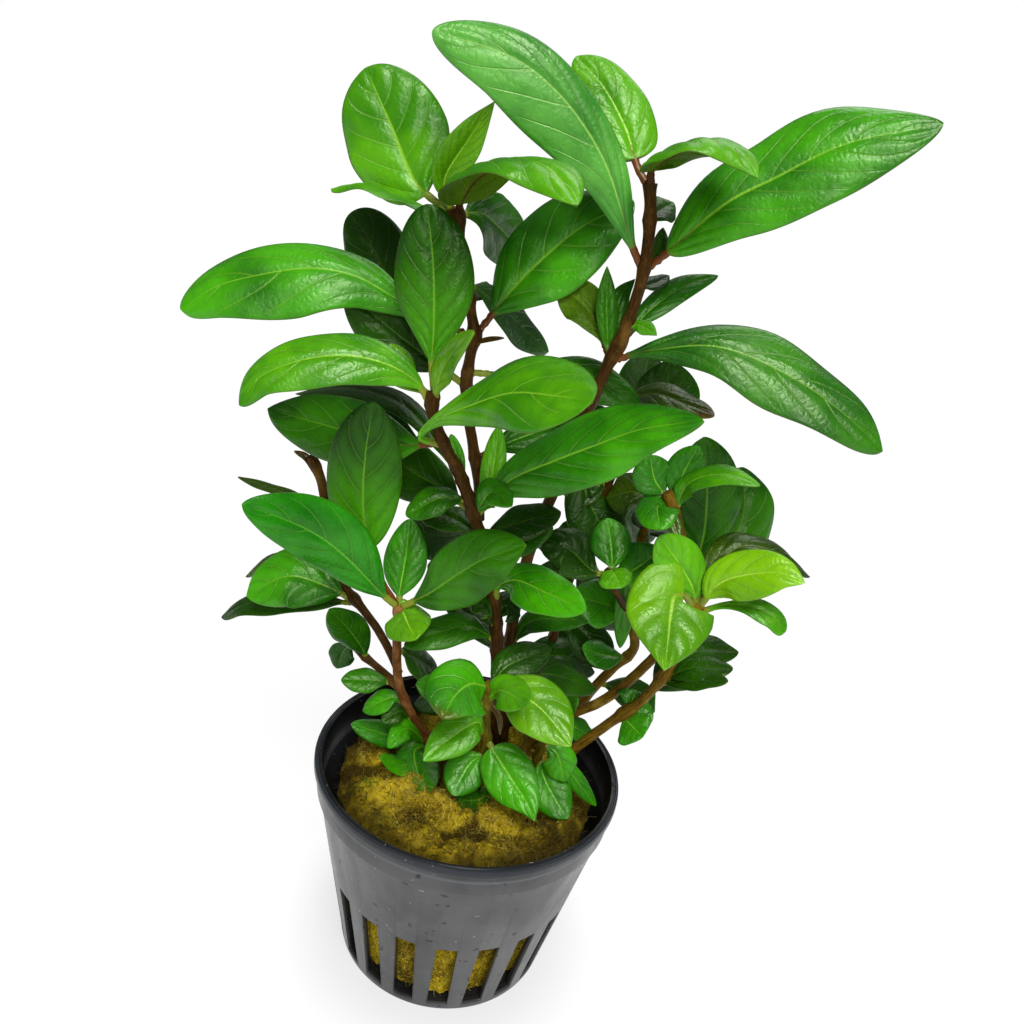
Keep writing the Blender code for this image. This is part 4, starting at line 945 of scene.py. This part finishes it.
class Tree:
    """Short ways to wire a material's nodes. colour is what has been painted so far."""

    def __init__(self, name):
        self.material = bpy.data.materials.new(name)
        self.material.use_nodes = True
        self.nodes, self.links = self.material.node_tree.nodes, self.material.node_tree.links
        self.shader = self.nodes["Principled BSDF"]

    def fill(self, node, values):
        """Links or sets a node's inputs, given by name or number."""
        for key, value in values.items():
            socket = node.inputs[key]
            if isinstance(value, Value):
                self.links.new(value.socket, socket)
            elif socket.type == "RGBA":
                socket.default_value = (*value, 1.0)
            else:
                socket.default_value = value

    def node(self, kind, values, output=0, **settings):
        made = self.nodes.new(kind)
        for key, value in settings.items():
            setattr(made, key, value)
        self.fill(made, values)
        return Value(self, made.outputs[output])

    def math(self, operation, *parts, clamp=False):
        return self.node("ShaderNodeMath", dict(enumerate(parts)), operation=operation, use_clamp=clamp)

    def span(self, *bounds):
        """Eases from a value that runs from low to high to one between 0 and 1, or two others."""
        bounds = bounds if len(bounds) == 5 else (*bounds, 0.0, 1.0)
        return self.node("ShaderNodeMapRange", dict(enumerate(bounds)), interpolation_type="SMOOTHSTEP")

    def mix(self, share, a, b):
        return self.node("ShaderNodeMix", {0: share, 6: a, 7: b}, 2, data_type="RGBA")

    def paint(self, share, colour):
        self.colour = self.mix(share, self.colour, colour)

    def place(self, stretch=(1.0, 1.0, 1.0)):
        coords = self.node("ShaderNodeTexCoord", {}, "Object")
        return self.node("ShaderNodeMapping", {"Vector": coords, "Scale": stretch})

    def noise(self, vector, scale, detail=2.0, rough=0.5, distortion=0.0):
        return self.node("ShaderNodeTexNoise", {"Vector": vector, "Scale": scale, "Detail": detail,
                                                "Roughness": rough, "Distortion": distortion}, "Fac")

    def cells(self, vector, scale):
        return self.node("ShaderNodeTexVoronoi", {"Vector": vector, "Scale": scale}, "Distance",
                         feature="DISTANCE_TO_EDGE")

    def split(self, vector):
        """The three parts of a vector."""
        first = self.node("ShaderNodeSeparateXYZ", {0: vector})
        return [Value(self, socket) for socket in first.socket.node.outputs]

    def length(self, vector):
        return self.node("ShaderNodeVectorMath", {0: vector}, "Value", operation="LENGTH")

    def blade_marks(self):
        return self.split(self.node("ShaderNodeUVMap", {}, uv_map="Blade"))[:2]

    def finish(self, roughness, specular, tint=(1.0, 1.0, 1.0), relief=None, depth=0.0):
        self.fill(self.shader, {"Base Color": self.colour, "Roughness": roughness,
                                "Specular IOR Level": specular, "Specular Tint": tint})
        if relief is not None:
            bump = self.node("ShaderNodeBump", {"Height": relief, "Distance": depth, "Strength": 1.0})
            self.fill(self.shader, {"Normal": bump})
        return self.material

    def let_light_through(self, weight):
        self.fill(self.shader, {"Subsurface Weight": weight, "Subsurface Radius": (0.35, 1.0, 0.05),
                                "Subsurface Scale": 0.0008})


MADE = {}


def once(build):
    """Keeps one material for each set of names."""
    def wrapped(*names):
        key = (build.__name__, *names)
        if key not in MADE:
            MADE[key] = build(*names)
        return MADE[key]
    return wrapped


def brighter(colour, times):
    return tuple(min(1, times * part) for part in colour)


def vein_masks(tree, position, veins):
    """Place along the blade and away from its midrib; side veins, midrib, margin, distance to a vein."""
    u, v = tree.blade_marks()
    c = v * 2.0 - 1.0
    w = abs(c)
    warp = (tree.noise(position, 110.0, 1.0) - 0.5) * 0.25
    phase = (u - w ** 1.3 * VEIN_RISE) * veins + tree.math("GREATER_THAN", c, 0.0) * 0.5 + warp
    away = 0.5 - abs(tree.math("FRACT", phase) - 0.5)
    inside = tree.span(w, 0.96, 0.70) * tree.span(u, 0.0, 0.06) * tree.span(u, 0.97, 0.85)
    side_veins = tree.span(away, 0.060, 0.0) * inside
    edge = tree.math("SUBTRACT", 1.0, u, clamp=True) ** 2.0 * 0.040 + 0.008
    rib = tree.span(w - edge, 0.020, -0.008) * tree.span(u, 1.0, 0.85)
    return u, w, side_veins, rib, tree.span(w, 0.965, 0.995), away


def blade_materials(leaf):
    return [leaf_material(leaf.tone, leaf.rib, leaf.veins, leaf.brown),
            under_material(leaf.under, leaf.veins)]


@once
def leaf_material(tone, stalk, veins, brown):
    """Upper face: clouded green, lighter veins, cushions with a painted highlight in their middles and
    painted shade at their veins and margins, a fine net, and a satin gloss.
    """
    deep, bright, vein = TONES[tone]
    foot = STALKS[stalk]
    tree = Tree(f"leaf_{tone}_{stalk}")
    position = tree.place()
    u, w, side_veins, rib, margin, away = vein_masks(tree, position, veins)
    patch = tree.span(tree.noise(position, 75.0, 3.0, 0.55), 0.36, 0.66)
    # For the shade tone the blade is painted lighter at its foot and darker towards its tip: a painted
    # highlight low on the leaf and painted shade towards its top.
    if tone == "shade":
        patch = (tree.span(u, 0.75, 0.05) + patch * 0.3) * 0.77
    # painted highlight on the middle of each cushion and painted shade along the veins and the margin
    painted_cushion_light = tree.span(away, 0.0, 0.4) * tree.span(w, 1.0, 0.6)
    tree.colour = tree.mix(tree.math("ADD", patch * 0.85, painted_cushion_light * 0.15, clamp=True), deep, bright)
    tree.paint(tree.span(tree.noise(position, 1100.0, 3.0, 0.6), 0.35, 0.65, 0.12, 0.0), deep)
    tree.paint(side_veins * 0.34, vein)
    cream = tree.mix(tree.span(u, 0.25, 0.80), brighter(vein, 1.2), vein)
    tree.paint(rib * 0.7, tree.mix(tree.span(u, 0.02, 0.20), foot, cream))
    tree.paint(margin * 0.5, (0.07, 0.075, 0.008))
    tree.paint(tree.span(u, 0.03, -0.03), foot)
    tree.paint(tree.span(tree.noise(position, 900.0, 1.0), 0.74, 0.80) * 0.25, (0.03, 0.05, 0.01))
    if brown:
        tree.paint(tree.span(u, 0.80, 0.97, 0.0, brown), (0.11, 0.045, 0.008))
    relief = tree.span(tree.cells(position, 1000.0), 0.0, 0.35) * 0.22 - side_veins * 0.5
    relief += tree.noise(position, 640.0, 3.0) * 0.45 + tree.noise(position, 1800.0) * 0.12
    gloss = tree.span(tree.noise(position, 180.0, 3.0, 0.6), 0.25, 0.75, 0.26, 0.44)
    tree.let_light_through(0.10)
    shine = 0.26 if tone in ("shade", "deep", "dark") else 0.46
    return tree.finish(gloss, shine, (0.85, 1.0, 0.65), relief, 0.00013)


@once
def under_material(tone, veins):
    """Underside: paler and duller, with raised veins in a net."""
    plain, shade, vein, foot = UNDERS[tone]
    tree = Tree("under_" + tone)
    position = tree.place()
    u, w, side_veins, rib, margin, away = vein_masks(tree, position, veins)
    tree.colour = tree.mix(tree.span(tree.noise(position, 90.0, 3.0), 0.3, 0.7), plain, shade)
    net = tree.cells(position, 900.0)
    tree.paint(tree.span(net, 0.1, 0.0) * 0.2, vein)
    tree.paint(side_veins * 0.5, vein)
    tree.paint(rib * 0.9, tree.mix(tree.span(u, 0.75, 0.2), vein, foot))
    tree.paint(margin * 0.5, (0.09, 0.07, 0.015))
    tree.paint(tree.span(u, 0.02, -0.05), foot)
    relief = side_veins + tree.span(net, 0.3, 0.0) * 0.3 + tree.noise(position, 700.0) * 0.5
    tree.let_light_through(0.12)
    return tree.finish(0.48, 0.15, (0.85, 1.0, 0.5), relief, 0.00010)


@once
def stem_material(tone):
    """Streaked bark with light blotches and specks."""
    dark, plain, light = BARKS[tone]
    tree = Tree("stem_" + tone)
    u, v = tree.blade_marks()
    along = tree.node("ShaderNodeCombineXYZ", {0: u * 2.2, 1: abs(v - 0.5) * 9.0})
    streak = tree.noise(along, 2.2, 4.0, 0.6, 0.4)
    position = tree.place()
    blotch = tree.noise(position, 180.0, 3.0, 0.6)
    tree.colour = tree.mix(tree.span(streak, 0.35, 0.68), dark, plain)
    tree.paint(tree.span(blotch, 0.50, 0.75), light)
    tree.paint(tree.span(tree.noise(position, 1700.0, 1.0), 0.70, 0.78) * 0.25, (0.36, 0.24, 0.10))
    return tree.finish(tree.span(blotch, 0.3, 0.7, 0.42, 0.6), 0.16, (1.0, 0.8, 0.5),
                       streak + tree.noise(position, 1400.0) * 0.5, 0.00012)


def pot_material():
    """Moulded black plastic: clouded, smeared and pitted, with a bluish lip, painted highlight lines
    round the collar and painted shade inside the wall.
    """
    tree = Tree("pot_plastic")
    position = tree.place()
    height = tree.split(position)[2]
    cloud = tree.noise(position, 55.0, 4.0, 0.6)
    smear = tree.noise(tree.place((1.0, 1.0, 0.30)), 150.0, 5.0, 0.7, 0.8)
    tree.colour = tree.mix(tree.span(cloud, 0.3, 0.7), (0.024, 0.025, 0.026), (0.072, 0.073, 0.075))
    tree.paint(tree.span(smear, 0.54, 0.76, 0.0, 0.5), (0.10, 0.102, 0.105))
    soft = 0.2 * MM
    tree.paint(tree.span(height, DARK_LIP * MM - soft, DARK_LIP * MM + soft, 0.0, 0.75),
               (0.012, 0.016, 0.022))
    # painted highlights: thin light lines round the collar's edges
    for low, high in PAINTED_EDGE_HIGHLIGHTS:
        line = (tree.span(height, low * MM - soft, low * MM)
                * tree.span(height, high * MM + soft, high * MM))
        tree.paint(line * 0.6, (0.11, 0.115, 0.125))
    # painted shade: the inside of the wall and the pot's floor are painted near black
    painted_shade_depth = height * WALL_SLOPE + BASE_RADIUS * MM - tree.length(tree.place((1.0, 1.0, 0.0)))
    tree.paint(tree.span(painted_shade_depth, 0.0003, 0.0008, 0.0, 0.9), (0.006, 0.006, 0.007))
    pit = tree.span(tree.noise(position, 520.0, 1.0), 0.70, 0.75)
    tree.paint(pit * 0.8, (0.006, 0.006, 0.006))
    grit = tree.span(tree.noise(position, 800.0, 1.0, 0.5, 1.0), 0.765, 0.79)
    tree.paint(grit * 0.6, (0.45, 0.38, 0.28))
    return tree.finish(tree.span(smear, 0.3, 0.75, 0.25, 0.42), 0.26,
                       relief=cloud + smear * 0.35 - pit * 0.6, depth=0.00022)


def painted_rim_shade(tree):
    """How near a point of the plug's top is to the pot's wall, where painted shade darkens the fibre
    under the rim.
    """
    uneven = (tree.noise(tree.place(), 200.0) - 0.5) * 0.008
    reach = tree.length(tree.place((1.0, 1.0, 0.0))) + uneven
    height = tree.split(tree.place())[2]
    return tree.span(reach, 0.0170, 0.0222, 0.0, 0.88) * tree.span(height, 0.030, 0.034)


def plug_material():
    """Matted fibre: golden on the tufts, dark brown painted shade in the hollows between them and near
    the pot's rim.
    """
    tree = Tree("plug_fibre")
    position = tree.place()
    high, _ = tree.blade_marks()
    large = tree.noise(position, 110.0, 3.0, 0.6)
    strand = tree.noise(position, 650.0, 4.0, 0.7, 2.5)
    tree.colour = tree.mix(tree.span(large, 0.35, 0.68), (0.10, 0.062, 0.004), (0.56, 0.41, 0.014))
    tree.paint(tree.span(strand, 0.48, 0.70), (0.62, 0.46, 0.035))
    tree.paint(tree.span(strand, 0.45, 0.25), (0.03, 0.018, 0.002))
    # painted shade in the hollows between the tufts
    tree.paint(tree.span(high + (large - 0.5) * 0.5, 0.50, 0.22, 0.0, 0.9), (0.035, 0.020, 0.003))
    # painted shade along the pot's rim
    tree.paint(painted_rim_shade(tree), (0.030, 0.018, 0.002))
    return tree.finish(0.9, 0.1, (1.0, 0.9, 0.6), large * 1.5 + strand, 0.0006)


def fibre_material(name, colour):
    """Hairs, darker at the root, lighter at the tip, with patches of painted shade for the hollows and
    painted shade along the pot's rim.
    """
    tree = Tree(name)
    u, v = tree.blade_marks()
    tree.colour = tree.mix(tree.span(v, 0.0, 1.0), brighter(colour, 0.45), colour)
    tree.paint(tree.span(u, 0.3, 1.0, 0.0, 0.5), brighter(colour, 1.6))
    # painted shade: dark patches on the hairs, and dark along the pot's rim
    painted_shade_patches = tree.span(tree.noise(tree.place(), 150.0, 3.0, 0.6), 0.55, 0.44, 0.0, 0.9)
    tree.paint(tree.math("MAXIMUM", painted_shade_patches, painted_rim_shade(tree)), (0.030, 0.017, 0.002))
    return tree.finish(0.6, 0.2, (1.0, 0.95, 0.7))


# Stage

def build_floor():
    """A white floor that glows a little, with a painted shadow round the pot: the glow is dimmer where
    the pot stands.
    """
    mesh = bpy.data.meshes.new("floor")
    corners = [(x * FLOOR_REACH, y * FLOOR_REACH, 0) for x, y in ((-1, -1), (1, -1), (1, 1), (-1, 1))]
    mesh.from_pydata(corners, [], [(0, 1, 2, 3)])
    floor = put_in_scene("floor", mesh)
    tree = Tree("floor_white")
    tree.colour = (0.11, 0.11, 0.11)
    # painted shadow: the floor's glow is dimmed near the pot's foot
    glow_with_painted_shadow = tree.mix(tree.span(tree.length(tree.place()), 0.018, 0.034), (0.80,) * 3, (1.0,) * 3)
    tree.fill(tree.shader, {"Emission Color": glow_with_painted_shadow, "Emission Strength": FLOOR_GLOW})
    mesh.materials.append(tree.finish(0.8, 0.0))


def build_light():
    """A white background, a dimmer room light and three soft suns."""
    world = bpy.data.worlds.new("studio")
    bpy.context.scene.world = world
    world.use_nodes = True
    nodes, link = world.node_tree.nodes, world.node_tree.links.new
    both = nodes.new("ShaderNodeMixShader")
    link(nodes.new("ShaderNodeLightPath").outputs["Is Camera Ray"], both.inputs[0])
    for place, node, strength in ((1, nodes["Background"], ROOM_LIGHT),
                                  (2, nodes.new("ShaderNodeBackground"), 1.0)):
        node.inputs["Color"].default_value = (1, 1, 1, 1)
        node.inputs["Strength"].default_value = strength
        link(node.outputs[0], both.inputs[place])
    link(both.outputs[0], nodes["World Output"].inputs[0])
    for name, place, width, strength in LIGHTS:
        light = bpy.data.lights.new(name, "SUN")
        light.angle, light.energy = radians(width), strength
        lamp = put_in_scene(name, light)
        lamp.rotation_euler = (-Vector(place)).to_track_quat("-Z", "Y").to_euler()


def build_camera():
    """The photograph's view, from its eye point and turned as it was held."""
    data = bpy.data.cameras.new("camera")
    data.sensor_width = 36.0
    data.lens = data.sensor_width * FOCAL / FRAME
    data.clip_start = 0.005
    camera = put_in_scene("camera", data)
    turn = Matrix((RIGHT, UP, -FORWARD)).transposed().to_4x4()
    camera.matrix_world = Matrix.Translation(Vector(EYE * MM)) @ turn
    bpy.context.scene.camera = camera


def main():
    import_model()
    build_camera()
    build_floor()
    build_light()
    build_pot()
    build_plug()
    build_fibres()
    build_stems()
    build_leaves()
    bpy.context.scene.view_settings.view_transform = "Standard"


main()
